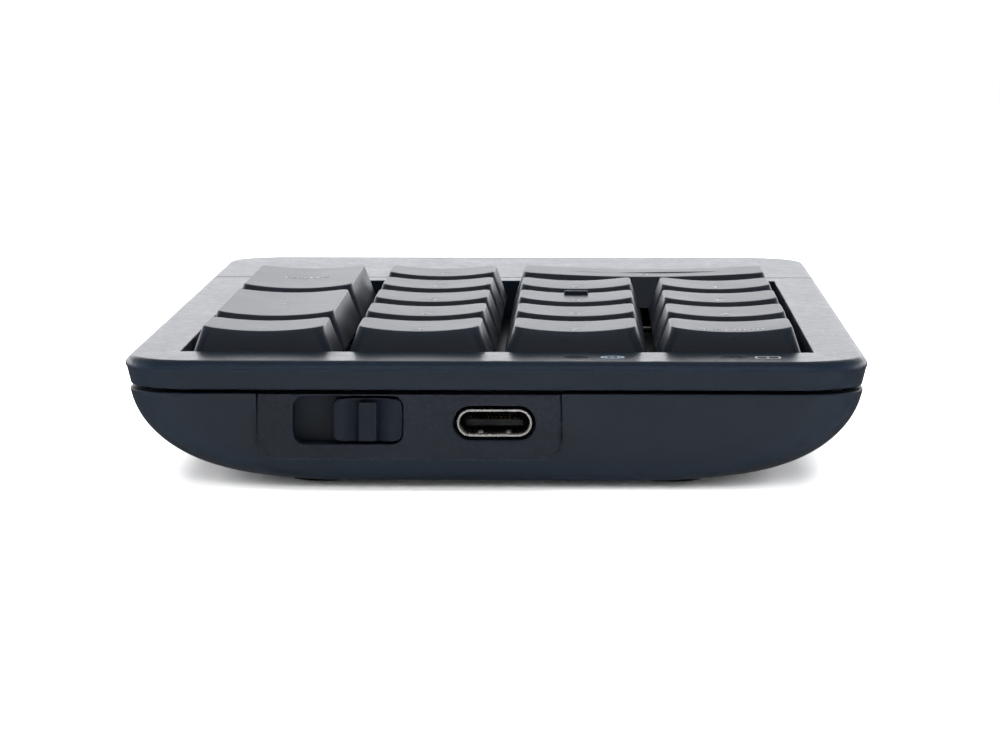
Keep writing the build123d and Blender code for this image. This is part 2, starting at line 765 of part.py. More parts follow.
def make_power_switch_knob():
    low_y = panel_back_y + knob_back_gap
    high_y = rim_rear_y - knob_setback
    knob = upright_slot(knob_width, knob_height, knob_radius, knob_x, slot_z, low_y, high_y)
    knob = fillet(knob.faces().sort_by(Axis.Y)[-1].edges(), knob_edge)
    scoop_radius = (scoop_width ** 2 / 4 + scoop_depth ** 2) / scoop_depth
    for side in (-1, 1):
        x = knob_x + side * (knob_rib / 2 + scoop_width / 2)
        scoop = Cylinder(scoop_radius, knob_height + beyond)
        scoop = Pos(x, high_y + scoop_radius - scoop_depth, slot_z) * scoop
        knob -= scoop & block(x - scoop_width / 2, x + scoop_width / 2, low_y, high_y + beyond, 0, top_z)
    knob -= block(knob_x - knob_rib / 2, knob_x + knob_rib / 2, high_y - scoop_depth, high_y + beyond,
                  slot_z + knob_height / 2 - knob_rib_drop, top_z)
    return knob - block(knob_x - lever_width / 2 - seat_clearance, knob_x + lever_width / 2 + seat_clearance,
                        low_y, low_y + lever_reach + seat_clearance,
                        slot_z - lever_height / 2 - seat_clearance, slot_z + lever_height / 2 + seat_clearance)


def make_battery():
    y = deck_seam_y - battery_shift
    low = floor_z + battery_lift
    cell = centred_block(battery_width, battery_depth, low, low + battery_height, 0, y)
    return fillet(cell.edges().filter_by(Axis.X), battery_edge)


def make_battery_leads():
    start = deck_seam_y - battery_shift + battery_depth / 2
    end = board_front_y + connector_setback
    z = board_z + connector_height / 2
    leads = []
    for side in (-1, 1):
        place = Pos(connector_shift + side * lead_spacing / 2, (start + end) / 2, z) * Rot(90, 0, 0)
        leads.append(place * Cylinder(lead_radius, end - start))
    return leads


def make_battery_connector():
    y = board_front_y + connector_setback
    return block(connector_shift - connector_width / 2, connector_shift + connector_width / 2,
                 y, y + connector_depth, board_z, board_z + connector_height)


def make_light_pipe(x):
    y = rear_y - light_setback
    low = board_z + led_height + led_gap
    rod = RectangleRounded(light_width, light_depth, light_radius)
    pipe = extrude(Pos(x, y, low) * rod, top_z - low)
    wide = RectangleRounded(light_width + 2 * light_flange, light_depth + 2 * light_flange, light_radius)
    flange_low = cover_under_z - light_flange_height - seat_clearance
    return pipe + extrude(Pos(x, y, flange_low) * wide, light_flange_height)


def make_status_led(x):
    y = board_rear_y - led_depth / 2 - led_setback
    return centred_block(led_width, led_depth, board_z, board_z + led_height, x, y)


def make_chip():
    y = well_y + key_pitch / 2
    return centred_block(chip_size, chip_size, board_low_z - chip_height, board_low_z, 0, y)


def make_rubber_foot(x, y):
    foot = post(rubber_radius, 0, foot_stand + rubber_sink, x, y)
    return chamfer(foot.faces().sort_by(Axis.Z)[0].edges(), rubber_edge)


def make_screw(x, y):
    seat = foot_stand + screw_seat
    screw = post(screw_head_radius, seat - screw_head_height, seat, x, y)
    screw = fillet(screw.faces().sort_by(Axis.Z)[0].edges(), screw_head_edge)
    screw += post(screw_radius - screw_thread_gap, seat, plate_low_z + screw_bite, x, y)
    low = seat - screw_head_height
    screw -= centred_block(screw_drive, screw_drive_width, low - beyond, low + screw_drive_depth, x, y)
    return screw - centred_block(screw_drive_width, screw_drive, low - beyond, low + screw_drive_depth, x, y)


def save(name, solids):
    """Write one node, as one solid or as a group of separate solids."""
    if not isinstance(solids, list):
        solids = [solids]
    flat = [solid for item in solids for solid in item.solids()]
    shape = flat[0] if len(flat) == 1 else Compound(children=flat)
    shape.label = name
    export_step(shape, f"parts/{name}.step")


save("bottom_shell", make_bottom_shell())
save("top_cover", make_top_cover())
save("front_deck_panel", make_front_deck_panel())
save("rear_port_panel", make_rear_port_panel())
save("switch_plate", make_switch_plate())
save("main_board", make_main_board())
save("switch_bases", at_each_key(make_switch_base()))
save("switch_tops", at_each_key(make_switch_top()))
save("switch_springs", at_each_key(make_spring()))
save("usb_socket_shell", make_usb_shell())
save("usb_tongue", make_usb_tongue())
save("slide_switch_can", make_slide_switch_can())
save("slide_switch_lever", make_slide_switch_lever())
save("power_switch_knob", make_power_switch_knob())
save("battery_cell", make_battery())
save("battery_leads", make_battery_leads())
save("battery_connector", make_battery_connector())
save("light_pipes", [make_light_pipe(x) for x in light_places])
save("status_leds", [make_status_led(x) for x in light_places])
save("controller_chip", make_chip())
save("rubber_feet", [make_rubber_foot(x, y) for x, y in rubber_places()])
save("case_screws", [make_screw(x, y) for x, y in screw_places])
clips = [place * make_stabilizer_clip(side) for name, place in long_keys() for side in (-1, 1)]
save("stabilizer_clips", clips)

for name, place in long_keys():
    save(f"stabilizer_wire_{name}", place * make_stabilizer_wire())

for name, column, row, width_units, depth_units in keys:
    x, y = key_place(column, row)
    save(f"keycap_{name}", Pos(x, y, 0) * make_keycap(name, width_units, depth_units))
    save(f"stem_{name}", Pos(x, y, 0) * Rot(0, 0, switch_turn(depth_units)) * make_stem())
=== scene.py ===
import logging
import math
from dataclasses import dataclass
from enum import Enum
from typing import Any, Iterable, Sequence

import bmesh
import bpy
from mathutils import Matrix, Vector


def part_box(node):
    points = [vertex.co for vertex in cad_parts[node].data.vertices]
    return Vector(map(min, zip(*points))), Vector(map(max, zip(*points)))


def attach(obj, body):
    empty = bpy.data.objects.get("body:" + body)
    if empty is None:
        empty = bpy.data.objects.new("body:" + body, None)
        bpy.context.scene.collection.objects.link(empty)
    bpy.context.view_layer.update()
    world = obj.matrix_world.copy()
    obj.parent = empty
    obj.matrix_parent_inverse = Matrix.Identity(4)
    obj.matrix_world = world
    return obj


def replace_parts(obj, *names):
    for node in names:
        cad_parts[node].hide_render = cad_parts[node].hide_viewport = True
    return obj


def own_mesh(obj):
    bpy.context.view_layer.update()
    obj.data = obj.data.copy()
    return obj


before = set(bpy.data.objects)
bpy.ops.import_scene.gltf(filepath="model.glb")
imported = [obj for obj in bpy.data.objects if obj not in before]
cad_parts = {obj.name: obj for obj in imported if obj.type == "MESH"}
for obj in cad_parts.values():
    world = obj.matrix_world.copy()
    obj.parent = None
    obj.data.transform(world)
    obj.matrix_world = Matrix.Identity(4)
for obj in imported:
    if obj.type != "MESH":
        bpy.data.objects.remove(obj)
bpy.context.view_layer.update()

MM = 0.001
MERGE = 0.0004
Point = tuple[float, float]
Ring = list[tuple[float, float, float]]
log = logging.getLogger("keypad")


# ---------------------------------------------------------------- shader maths


class Value:
    """A shader socket that adds Math nodes when it is used in arithmetic."""

    def __init__(self, maker: "Shader", socket: bpy.types.NodeSocket) -> None:
        """Wraps an output socket of a node tree."""
        self.maker = maker
        self.socket = socket

    def _math(self, operation: str, first: Any, second: Any) -> "Value":
        """Adds one Math node for two operands."""
        return self.maker.node("ShaderNodeMath", {"operation": operation}, {0: first, 1: second})

    def __add__(self, other: Any) -> "Value":
        """self + other."""
        return self._math("ADD", self, other)

    def __sub__(self, other: Any) -> "Value":
        """self - other."""
        return self._math("SUBTRACT", self, other)

    def __mul__(self, other: Any) -> "Value":
        """self * other."""
        return self._math("MULTIPLY", self, other)

    def band(self, low: float, high: float, start: float = 0.0, end: float = 1.0) -> "Value":
        """Smooth step of the value from start at low to end at high."""
        inputs = {"Value": self, "From Min": low, "From Max": high, "To Min": start, "To Max": end}
        return self.maker.node("ShaderNodeMapRange", {"interpolation_type": "SMOOTHSTEP"}, inputs)


class Shader:
    """A node tree that is written as expressions."""

    def __init__(self, tree: bpy.types.NodeTree) -> None:
        """Takes the tree of a material or of the world."""
        self.tree = tree

    def node(self, kind: str, settings: dict[str, Any] | None = None,
             inputs: dict[Any, Any] | None = None, output: Any = 0) -> Value:
        """Adds any node.

        Args:
            kind: The node's type.
            settings: Attributes of the node, set before its sockets.
            inputs: Values or links of its input sockets, by name or number.
            output: The output socket to hand back.

        Returns:
            The wrapped output socket.
        """
        made = self.tree.nodes.new(kind)
        for key, value in (settings or {}).items():
            setattr(made, key, value)
        for key, value in (inputs or {}).items():
            self.feed(made.inputs[key], value)
        return Value(self, made.outputs[output])

    def feed(self, socket: bpy.types.NodeSocket, value: Any) -> None:
        """Links a wrapped socket or sets a plain value."""
        if isinstance(value, Value):
            self.tree.links.new(value.socket, socket)
        else:
            socket.default_value = value


class Material(Shader):
    """A node material over a Principled shader."""

    def __init__(self, name: str) -> None:
        """Makes an empty material."""
        self.data = bpy.data.materials.new(name)
        self.data.use_nodes = True
        super().__init__(self.data.node_tree)
        self.shader = self.tree.nodes["Principled BSDF"]

    def place(self) -> Value:
        """Position on the object, in metres."""
        return self.node("ShaderNodeTexCoord", output="Object")

    def noise(self, size_mm: float, detail: float = 2.0, rough: float = 0.5,
              stretch: Sequence[float] = (1.0, 1.0, 1.0)) -> Value:
        """Noise whose features are about size_mm across.

        Args:
            size_mm: Size of a feature.
            detail: Octaves of finer noise.
            rough: Strength of the finer octaves.
            stretch: Scale of the coordinates along each axis.

        Returns:
            The noise factor, 0 to 1.
        """
        place = self.place()
        if tuple(stretch) != (1.0, 1.0, 1.0):
            scaling = {0: place, 1: tuple(stretch)}
            place = self.node("ShaderNodeVectorMath", {"operation": "MULTIPLY"}, scaling)
        inputs = {"Vector": place, "Scale": 1 / (size_mm * MM), "Detail": detail, "Roughness": rough}
        return self.node("ShaderNodeTexNoise", {"noise_dimensions": "3D"}, inputs)

    def creases(self, size_mm: float) -> Value:
        """Distance from the creases between cells about size_mm across."""
        inputs = {"Vector": self.place(), "Scale": 1 / (size_mm * MM)}
        return self.node("ShaderNodeTexVoronoi", {"feature": "DISTANCE_TO_EDGE"}, inputs, "Distance")

    def mix(self, mask: Any, first: Any, second: Any) -> Value:
        """Blends two colours, or wrapped colour sockets, by a mask."""
        colours = {0: mask, 6: _colour(first), 7: _colour(second)}
        return self.node("ShaderNodeMix", {"data_type": "RGBA"}, colours, 2)

    def bump(self, height: Value, depth_mm: float) -> Value:
        """Bump from a height of 0 to 1, depth_mm deep."""
        inputs = {"Height": height, "Distance": depth_mm * MM, "Strength": 1.0}
        return self.node("ShaderNodeBump", None, inputs)

    def surface(self, **sockets: Any) -> bpy.types.Material:
        """Feeds the shader's sockets, named with underscores for spaces, and hands back the material."""
        for key, value in sockets.items():
            self.feed(self.shader.inputs[key.replace("_", " ")], value)
        return self.data


def _colour(value: Any) -> Any:
    """A colour with alpha, or a wrapped socket as it is."""
    return value if isinstance(value, Value) else (*value[:3], 1.0)


# ---------------------------------------------------------------- finishes


class Texture(Enum):
    """Surface textures that the moulds were given."""

    SPARK = "spark eroded"
    LEATHER = "leather grain"
    MATT = "fine matt"
    SATIN = "satin"


@dataclass(frozen=True)
class Moulded:
    """A moulded plastic with one of the mould textures."""

    name: str
    colour: tuple[float, float, float]
    texture: Texture
    roughness: float
    grain_mm: float
    depth_mm: float
    # Strength of the painted glint on the grain's lighter flecks, and of the grain's roughness.
    glint_and_grain: float = 0.0
    polish: float = 0.015

    def material(self) -> bpy.types.Material:
        """Builds the plastic's material."""
        m = Material(self.name)
        grain = m.noise(self.grain_mm, 3.0, 0.6)
        broad = m.noise(22.0, 2.0, 0.5)
        handled = m.noise(7.0, 4.0, 0.65).band(0.42, 0.68)
        if self.texture is Texture.SPARK:
            coarse = m.noise(self.grain_mm * 3.4, 2.0, 0.6)
            grain = coarse * 0.55 + grain * 0.45
        if self.texture is Texture.LEATHER:
            creases = m.creases(self.grain_mm * 2.6).band(0.0, 0.16)
            grain = creases * 0.75 + grain * 0.25
        # Lighter flecks on the grain: a fleck tone plus a painted glint where the grain would catch the
        # light. The strength field brightens and widens the painted glint.
        fleck_and_glint_mask = grain.band(0.56, 0.74)
        light = tuple(min(1.0, c * (1.35 + self.glint_and_grain)) for c in self.colour)
        shade = tuple(c * 0.86 for c in self.colour)
        base = m.mix(fleck_and_glint_mask * (0.35 + 0.5 * self.glint_and_grain), self.colour, light)
        colour = m.mix(broad.band(0.4, 0.7) * 0.6, base, shade)
        rough = grain * (0.16 + 0.20 * self.glint_and_grain) + (self.roughness - 0.08) - handled * self.polish
        return m.surface(Base_Color=colour, Roughness=rough, Normal=m.bump(grain, self.depth_mm), IOR=1.5)


@dataclass(frozen=True)
class Metal:
    """A drawn or plated metal."""

    name: str
    colour: tuple[float, float, float]
    roughness: float
    streak: tuple[float, float, float] = (1.0, 0.08, 1.0)
    metallic: float = 1.0

    def material(self) -> bpy.types.Material:
        """Builds the metal's material."""
        m = Material(self.name)
        lines = m.noise(0.12, 2.0, 0.5, self.streak)
        stain = m.noise(3.0, 3.0, 0.6).band(0.45, 0.75)
        dull = tuple(c * 0.72 for c in self.colour)
        colour = m.mix(stain * 0.4, self.colour, dull)
        rough = lines * 0.18 + stain * 0.12 + (self.roughness - 0.1)
        return m.surface(Base_Color=colour, Roughness=rough, Normal=m.bump(lines, 0.004),
                         Metallic=self.metallic)


@dataclass(frozen=True)
class Sheet:
    """A hard sheet or block: board laminate, foil, chip resin, wire jacket, ink or lens."""

    name: str
    colour: tuple[float, float, float]
    accent: tuple[float, float, float]
    roughness: float
    grain_mm: float
    depth_mm: float
    metallic: float = 0.0

    def material(self) -> bpy.types.Material:
        """Builds the sheet's material."""
        m = Material(self.name)
        grain = m.noise(self.grain_mm, 3.0, 0.55)
        cloud = m.noise(self.grain_mm * 14.0, 3.0, 0.5).band(0.4, 0.65)
        colour = m.mix(cloud * 0.7, self.colour, self.accent)
        rough = grain * 0.15 + cloud * 0.06 + (self.roughness - 0.1)
        return m.surface(Base_Color=colour, Roughness=rough, Metallic=self.metallic,
                         Normal=m.bump(grain, self.depth_mm))


class Finish(Enum):
    """Every finish of the keypad."""

    CASE = Moulded("case_spark", (0.0105, 0.0185, 0.0320), Texture.SPARK, 0.28, 0.30, 0.090, 0.55)
    # The band is the case plastic made darker: painted shade on the side band, which faces away from the
    # light.
    BAND_SHADED = Moulded("case_satin_shaded", (0.0095, 0.0160, 0.0265), Texture.SATIN, 0.34, 0.30, 0.003, 0.05)
    BELLY = Moulded("belly_satin", (0.0100, 0.0172, 0.0285), Texture.SATIN, 0.40, 0.24, 0.005, 0.10)
    PANEL = Moulded("panel_leather", (0.0095, 0.0138, 0.0235), Texture.LEATHER, 0.46, 0.26, 0.030, 0.20)
    KEY = Moulded("key_matt", (0.0200, 0.0265, 0.0390), Texture.MATT, 0.37, 0.14, 0.006, 0.20)
    KNOB = Moulded("knob_satin", (0.0085, 0.0130, 0.0215), Texture.SATIN, 0.34, 0.22, 0.003, 0.05)
    HOUSING = Moulded("switch_nylon", (0.012, 0.012, 0.013), Texture.MATT, 0.50, 0.20, 0.006)
    STEM = Moulded("stem_acetal", (0.25, 0.10, 0.05), Texture.MATT, 0.38, 0.25, 0.003)
    RUBBER = Moulded("foot_rubber", (0.020, 0.020, 0.021), Texture.MATT, 0.74, 0.20, 0.014)
    STEEL = Metal("drawn_steel", (0.60, 0.60, 0.61), 0.30)
    SOCKET = Metal("socket_steel", (0.72, 0.70, 0.67), 0.26, metallic=0.68)
    GOLD = Metal("contact_gold", (0.83, 0.62, 0.28), 0.24)
    PLATE = Sheet("plate_paint", (0.012, 0.012, 0.014), (0.020, 0.020, 0.022), 0.45, 0.3, 0.004)
    BOARD = Sheet("board_resist", (0.006, 0.035, 0.022), (0.010, 0.060, 0.036), 0.30, 0.4, 0.010)
    TONGUE = Sheet("socket_polymer", (0.008, 0.008, 0.009), (0.014, 0.014, 0.015), 0.35, 0.2, 0.003)
    FOIL = Sheet("battery_foil", (0.62, 0.63, 0.65), (0.48, 0.49, 0.51), 0.34, 0.6, 0.030, 1.0)
    JACKET = Sheet("lead_jacket", (0.42, 0.03, 0.02), (0.30, 0.02, 0.015), 0.35, 0.3, 0.004)
    NYLON = Sheet("connector_nylon", (0.78, 0.76, 0.68), (0.66, 0.64, 0.56), 0.42, 0.3, 0.004)
    CHIP = Sheet("chip_resin", (0.016, 0.016, 0.016), (0.026, 0.026, 0.026), 0.55, 0.15, 0.006)
    LED = Sheet("led_resin", (0.75, 0.73, 0.60), (0.60, 0.58, 0.46), 0.25, 0.3, 0.003)
    LENS = Sheet("smoked_lens", (0.006, 0.006, 0.007), (0.012, 0.012, 0.014), 0.22, 0.4, 0.002)
    INK = Sheet("legend_ink", (0.62, 0.63, 0.65), (0.54, 0.55, 0.57), 0.55, 0.1, 0.001)
    ICON = Sheet("icon_ink", (0.56, 0.72, 0.82), (0.46, 0.62, 0.72), 0.60, 0.1, 0.001)


class Finishes:
    """Builds each material once."""

    def __init__(self) -> None:
        """Starts with no material built."""
        self._built: dict[Finish, bpy.types.Material] = {}

    def get(self, finish: Finish) -> bpy.types.Material:
        """The material of a finish."""
        if finish not in self._built:
            self._built[finish] = finish.value.material()
        return self._built[finish]


FINISHES = Finishes()


# ---------------------------------------------------------------- mesh making


@dataclass(frozen=True)
class Outline:
    """A rectangle with rounded corners between four lines, in millimetres."""

    left: float
    right: float
    low: float
    high: float
    low_radius: float
    high_radius: float
    corner_steps: int = 10
    edge_steps: int = 6

    def inset(self, side: float, low: float | None = None, high: float | None = None) -> "Outline":
        """The outline stood in.

        Args:
            side: Inset of the left and right lines, and of the others unless they are given.
            low: Inset of the low line.
            high: Inset of the high line.

        Returns:
            The smaller outline, with the same number of points.
        """
        low = side if low is None else low
        high = side if high is None else high
        low_radius = max(self.low_radius - min(side, low), 0.0)
        high_radius = max(self.high_radius - min(side, high), 0.0)
        return Outline(self.left + side, self.right - side, self.low + low, self.high - high,
                       low_radius, high_radius, self.corner_steps, self.edge_steps)

    def loop(self) -> list[Point]:
        """Points round the outline, anticlockwise from the low right corner's arc."""
        half = min(self.right - self.left, self.high - self.low) / 2
        low_radius = min(self.low_radius, half)
        high_radius = min(self.high_radius, half)
        corners = (
            (self.right, self.low, -1, 1, low_radius, -90),
            (self.right, self.high, -1, -1, high_radius, 0),
            (self.left, self.high, 1, -1, high_radius, 90),
            (self.left, self.low, 1, 1, low_radius, 180),
        )
        arcs = []
        for x, y, towards_x, towards_y, radius, start in corners:
            centre_x = x + towards_x * radius
            centre_y = y + towards_y * radius
            arc = []
            for step in range(self.corner_steps + 1):
                angle = math.radians(start + 90 * step / self.corner_steps)
                arc.append((centre_x + radius * math.cos(angle), centre_y + radius * math.sin(angle)))
            arcs.append(arc)
        points: list[Point] = []
        for index, arc in enumerate(arcs):
            points += arc
            following = arcs[(index + 1) % len(arcs)][0]
            for step in range(1, self.edge_steps):
                share = step / self.edge_steps
                points.append((arc[-1][0] + (following[0] - arc[-1][0]) * share,
                               arc[-1][1] + (following[1] - arc[-1][1]) * share))
        return points


class Mesh:
    """Collects closed stacks of rings, and makes one object of them. Sizes are in millimetres."""

    def __init__(self, name: str) -> None:
        """Starts an empty mesh."""
        self.name = name
        self.bm = bmesh.new()

    def _ring(self, ring: Iterable[Sequence[float]]) -> list[bmesh.types.BMVert]:
        """Adds one ring's vertices."""
        return [self.bm.verts.new(point) for point in ring]

    def _walls(self, rings: list[list[bmesh.types.BMVert]]) -> None:
        """Joins each ring to the one after it."""
        for upper, lower in zip(rings, rings[1:]):
            count = len(upper)
            for index in range(count):
                after = (index + 1) % count
                self.bm.faces.new((upper[index], upper[after], lower[after], lower[index]))

    def sheet(self, ring: Ring) -> "Mesh":
        """One flat face."""
        self.bm.faces.new(self._ring(ring))
        return self

    def stack(self, rings: Sequence[Ring]) -> "Mesh":
        """A closed form through rings, with a flat face at each end."""
        made = [self._ring(ring) for ring in rings]
        self._walls(made)
        self.bm.faces.new(made[0])
        self.bm.faces.new(reversed(made[-1]))
        return self

    def plate(self, outer: Sequence[Ring], holes: Sequence[Sequence[Ring]]) -> "Mesh":
        """A closed plate with holes.

        Args:
            outer: Rings of the outer wall, from the front face to the back one.
            holes: The same for each hole's wall.

        Returns:
            The mesh, so that calls can follow each other.
        """
        earlier = set(self.bm.faces)
        verts: list[bmesh.types.BMVert] = []
        for rings in (outer, *holes):
            made = [self._ring(ring) for ring in rings]
            self._walls(made)
            verts += [vert for ring in made for vert in ring]
        bmesh.ops.remove_doubles(self.bm, verts=verts, dist=MERGE)
        walls = [face for face in self.bm.faces if face not in earlier]
        open_edges = {edge for face in walls for edge in face.edges if len(edge.link_faces) == 1}
        heights = [point[2] for point in outer[0]]
        axis = 2 if max(heights) - min(heights) < 1e-6 else 1
        for ring in (outer[0], outer[-1]):
            depth = ring[0][axis]
            ends = [edge for edge in open_edges
                    if all(abs(vert.co[axis] - depth) < 1e-4 for vert in edge.verts)]
            bmesh.ops.triangle_fill(self.bm, use_beauty=True, use_dissolve=False, edges=ends)
        return self

    def make(self, body: str, finish: Finish, slot: str, sharp: float = 38.0) -> bpy.types.Object:
        """Makes the object, shades it and lets it ride.

        Args:
            body: The CAD body that carries the piece.
            finish: The piece's finish.
            slot: The record's material slot; not used.
            sharp: Edges that turn more than this many degrees stay sharp.

        Returns:
            The new object.
        """
        return dress(self.form(), body, finish, sharp)

    def form(self) -> bpy.types.Object:
        """A bare object of the mesh, in metres."""
        bmesh.ops.remove_doubles(self.bm, verts=self.bm.verts, dist=MERGE)
        bmesh.ops.recalc_face_normals(self.bm, faces=self.bm.faces)
        bmesh.ops.scale(self.bm, vec=(MM, MM, MM), verts=self.bm.verts)
        data = bpy.data.meshes.new(self.name)
        self.bm.to_mesh(data)
        self.bm.free()
        piece = bpy.data.objects.new(self.name, data)
        bpy.context.scene.collection.objects.link(piece)
        return piece


def dress(piece: bpy.types.Object, body: str, finish: Finish, sharp: float) -> bpy.types.Object:
    """Shades a piece, gives it its finish and lets it ride on a body."""
    shade(piece, sharp)
    piece.data.materials.clear()
    piece.data.materials.append(FINISHES.get(finish))
    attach(piece, body)
    log.info("%s rides on %s", piece.name, body)
    return piece


def shade(piece: bpy.types.Object, sharp: float) -> None:
    """Smooth shading, with sharp edges where the surface turns."""
    piece.data.polygons.foreach_set("use_smooth", [True] * len(piece.data.polygons))
    piece.data.set_sharp_from_angle(angle=math.radians(sharp))
    weighted = piece.modifiers.new("even_shading", "WEIGHTED_NORMAL")
    weighted.keep_sharp = True


def carve(piece: bpy.types.Object, cutters: Sequence[bpy.types.Object]) -> None:
    """Cuts closed forms out of a piece, and applies the cuts."""
    for cutter in cutters:
        cut = piece.modifiers.new("cut", "BOOLEAN")
        cut.operation = "DIFFERENCE"
        cut.solver = "EXACT"
        cut.object = cutter
        bpy.context.view_layer.update()
        depsgraph = bpy.context.evaluated_depsgraph_get()
        data = bpy.data.meshes.new_from_object(piece.evaluated_get(depsgraph))
        piece.modifiers.remove(cut)
        piece.data = data
        bpy.data.objects.remove(cutter)


def level(outline: Outline, z: float) -> Ring:
    """A plan outline at a height."""
    return [(x, y, z) for x, y in outline.loop()]


def upright(outline: Outline, y: float) -> Ring:
    """An outline in the X and Z directions, at a distance along Y."""
    return [(x, y, z) for x, z in outline.loop()]


def circle(x: float, y: float, radius: float, z: float, steps: int = 40) -> Ring:
    """A level circle."""
    turn = math.tau / steps
    return [(x + radius * math.cos(k * turn), y + radius * math.sin(k * turn), z) for k in range(steps)]


def rounding(radius: float, steps: int) -> list[tuple[float, float]]:
    """Inset and drop of a rounded edge, from its flat face to its side."""
    turn = math.pi / 2 / steps
    return [(radius * (1 - math.sin(k * turn)), radius * (1 - math.cos(k * turn))) for k in range(steps + 1)]


def corners(node: str) -> tuple[Vector, Vector]:
    """A CAD node's lowest and highest corner, in millimetres."""
    low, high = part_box(node)
    return low / MM, high / MM


# ---------------------------------------------------------------- camera and light


@dataclass(frozen=True)
class Lamp:
    """One soft square lamp that looks at the keypad. Its place and side are in metres."""

    name: str
    place: tuple[float, float, float]
    side: float
    watts: float
    floor_only: bool = False
    shines: bool = False


LAMPS = (
    Lamp("overhead", (0.0, 0.15, 1.1), 1.4, 10.0),
    Lamp("upper_front", (0.0, 1.1, 0.9), 0.9, 0.9, shines=True),
    Lamp("left_side", (1.0, 0.15, 0.45), 0.9, 2.5),
    Lamp("right_side", (-1.0, 0.15, 0.45), 0.9, 2.5),
    Lamp("floor_wash", (0.0, -0.2, 1.2), 1.8, 60.0, floor_only=True),
    Lamp("floor_front", (0.0, 1.1, 0.38), 0.9, 31.0, floor_only=True),
    Lamp("floor_left", (1.1, 0.1, 0.38), 0.9, 14.0, floor_only=True),
    Lamp("floor_right", (-1.1, 0.1, 0.38), 0.9, 14.0, floor_only=True),
)


@dataclass
class Studio:
    """The camera, the pale floor and the soft light."""

    place: tuple[float, float, float] = (-0.01058, 0.52479, 0.06571)
    turn: float = 1.261
    tilt: float = 6.527
    lens: float = 137.9
    floor_size: float = 1.9
    wall: float = 3.9
    dim: float = 0.045
    zenith: float = 0.09
    nadir: float = 0.03
    backdrop: float = 1.05
    tint: tuple[float, float, float] = (0.955, 0.965, 1.0)

    def camera(self) -> None:
        """Sets the camera behind the keypad, a little above its top."""
        data = bpy.data.cameras.new("camera")
        data.lens = self.lens
        data.sensor_width = 36.0
        data.clip_start = 0.01
        data.clip_end = 60.0
        camera = bpy.data.objects.new("camera", data)
        bpy.context.scene.collection.objects.link(camera)
        turn, tilt = math.radians(self.turn), math.radians(self.tilt)
        aim = Vector((math.sin(turn) * math.cos(tilt), -math.cos(turn) * math.cos(tilt), -math.sin(tilt)))
        camera.location = self.place
        camera.rotation_euler = aim.to_track_quat("-Z", "Y").to_euler()
        bpy.context.scene.camera = camera

    def floor(self) -> None:
        """A pale floor under the feet."""
        m = Material("floor_white")
        cloud = m.noise(60.0, 2.0)
        m.surface(Base_Color=m.mix(cloud, (0.86, 0.86, 0.87), (0.88, 0.88, 0.885)), Roughness=0.6)
        mesh = Mesh("floor")
        half = self.floor_size / 2 / MM
        mesh.sheet([(-half, -half, 0), (half, -half, 0), (half, half, 0), (-half, half, 0)])
        floor = mesh.form()
        floor.data.materials.append(m.data)
        floor.visible_glossy = False
        self.floor_only = bpy.data.collections.new("floor_only")
        self.floor_only.objects.link(floor)

    def world(self) -> None:
        """A pale wall across from the camera, dim overhead and behind the camera."""
        scene = bpy.context.scene
        scene.view_settings.view_transform = "Standard"
        world = bpy.data.worlds.new("studio")
        scene.world = world
        world.use_nodes = True
        shader = Shader(world.node_tree)
        place = {0: shader.node("ShaderNodeTexCoord", output="Generated")}
        depth = shader.node("ShaderNodeSeparateXYZ", None, place, "Y")
        height = shader.node("ShaderNodeSeparateXYZ", None, place, "Z")
        across = depth.band(-0.92, 0.05, self.wall, self.dim)
        upward = height.band(0.05, 0.40, 1.0, self.zenith)
        below = height.band(0.01, 0.075, self.nadir, 1.0)
        seen = shader.node("ShaderNodeLightPath", output="Is Camera Ray")
        lights = {0: across * upward * below, 1: seen * self.backdrop}
        strength = shader.node("ShaderNodeMath", {"operation": "MAXIMUM"}, lights)
        back = shader.tree.nodes["Background"]
        shader.feed(back.inputs["Strength"], strength)
        shader.feed(back.inputs["Color"], _colour(self.tint))

    def light(self, lamp: Lamp) -> None:
        """Hangs one lamp."""
        data = bpy.data.lights.new(lamp.name, "AREA")
        data.shape = "SQUARE"
        data.size = lamp.side
        data.energy = lamp.watts
        hung = bpy.data.objects.new(lamp.name, data)
        hung.location = lamp.place
        hung.visible_glossy = lamp.shines
        hung.rotation_euler = (-Vector(lamp.place)).to_track_quat("-Z", "Y").to_euler()
        if lamp.floor_only:
            hung.light_linking.receiver_collection = self.floor_only
        bpy.context.scene.collection.objects.link(hung)

    def build(self) -> None:
        """Sets up the whole studio."""
        self.camera()
        self.floor()
        self.world()
        for lamp in LAMPS:
            self.light(lamp)


# ---------------------------------------------------------------- the case


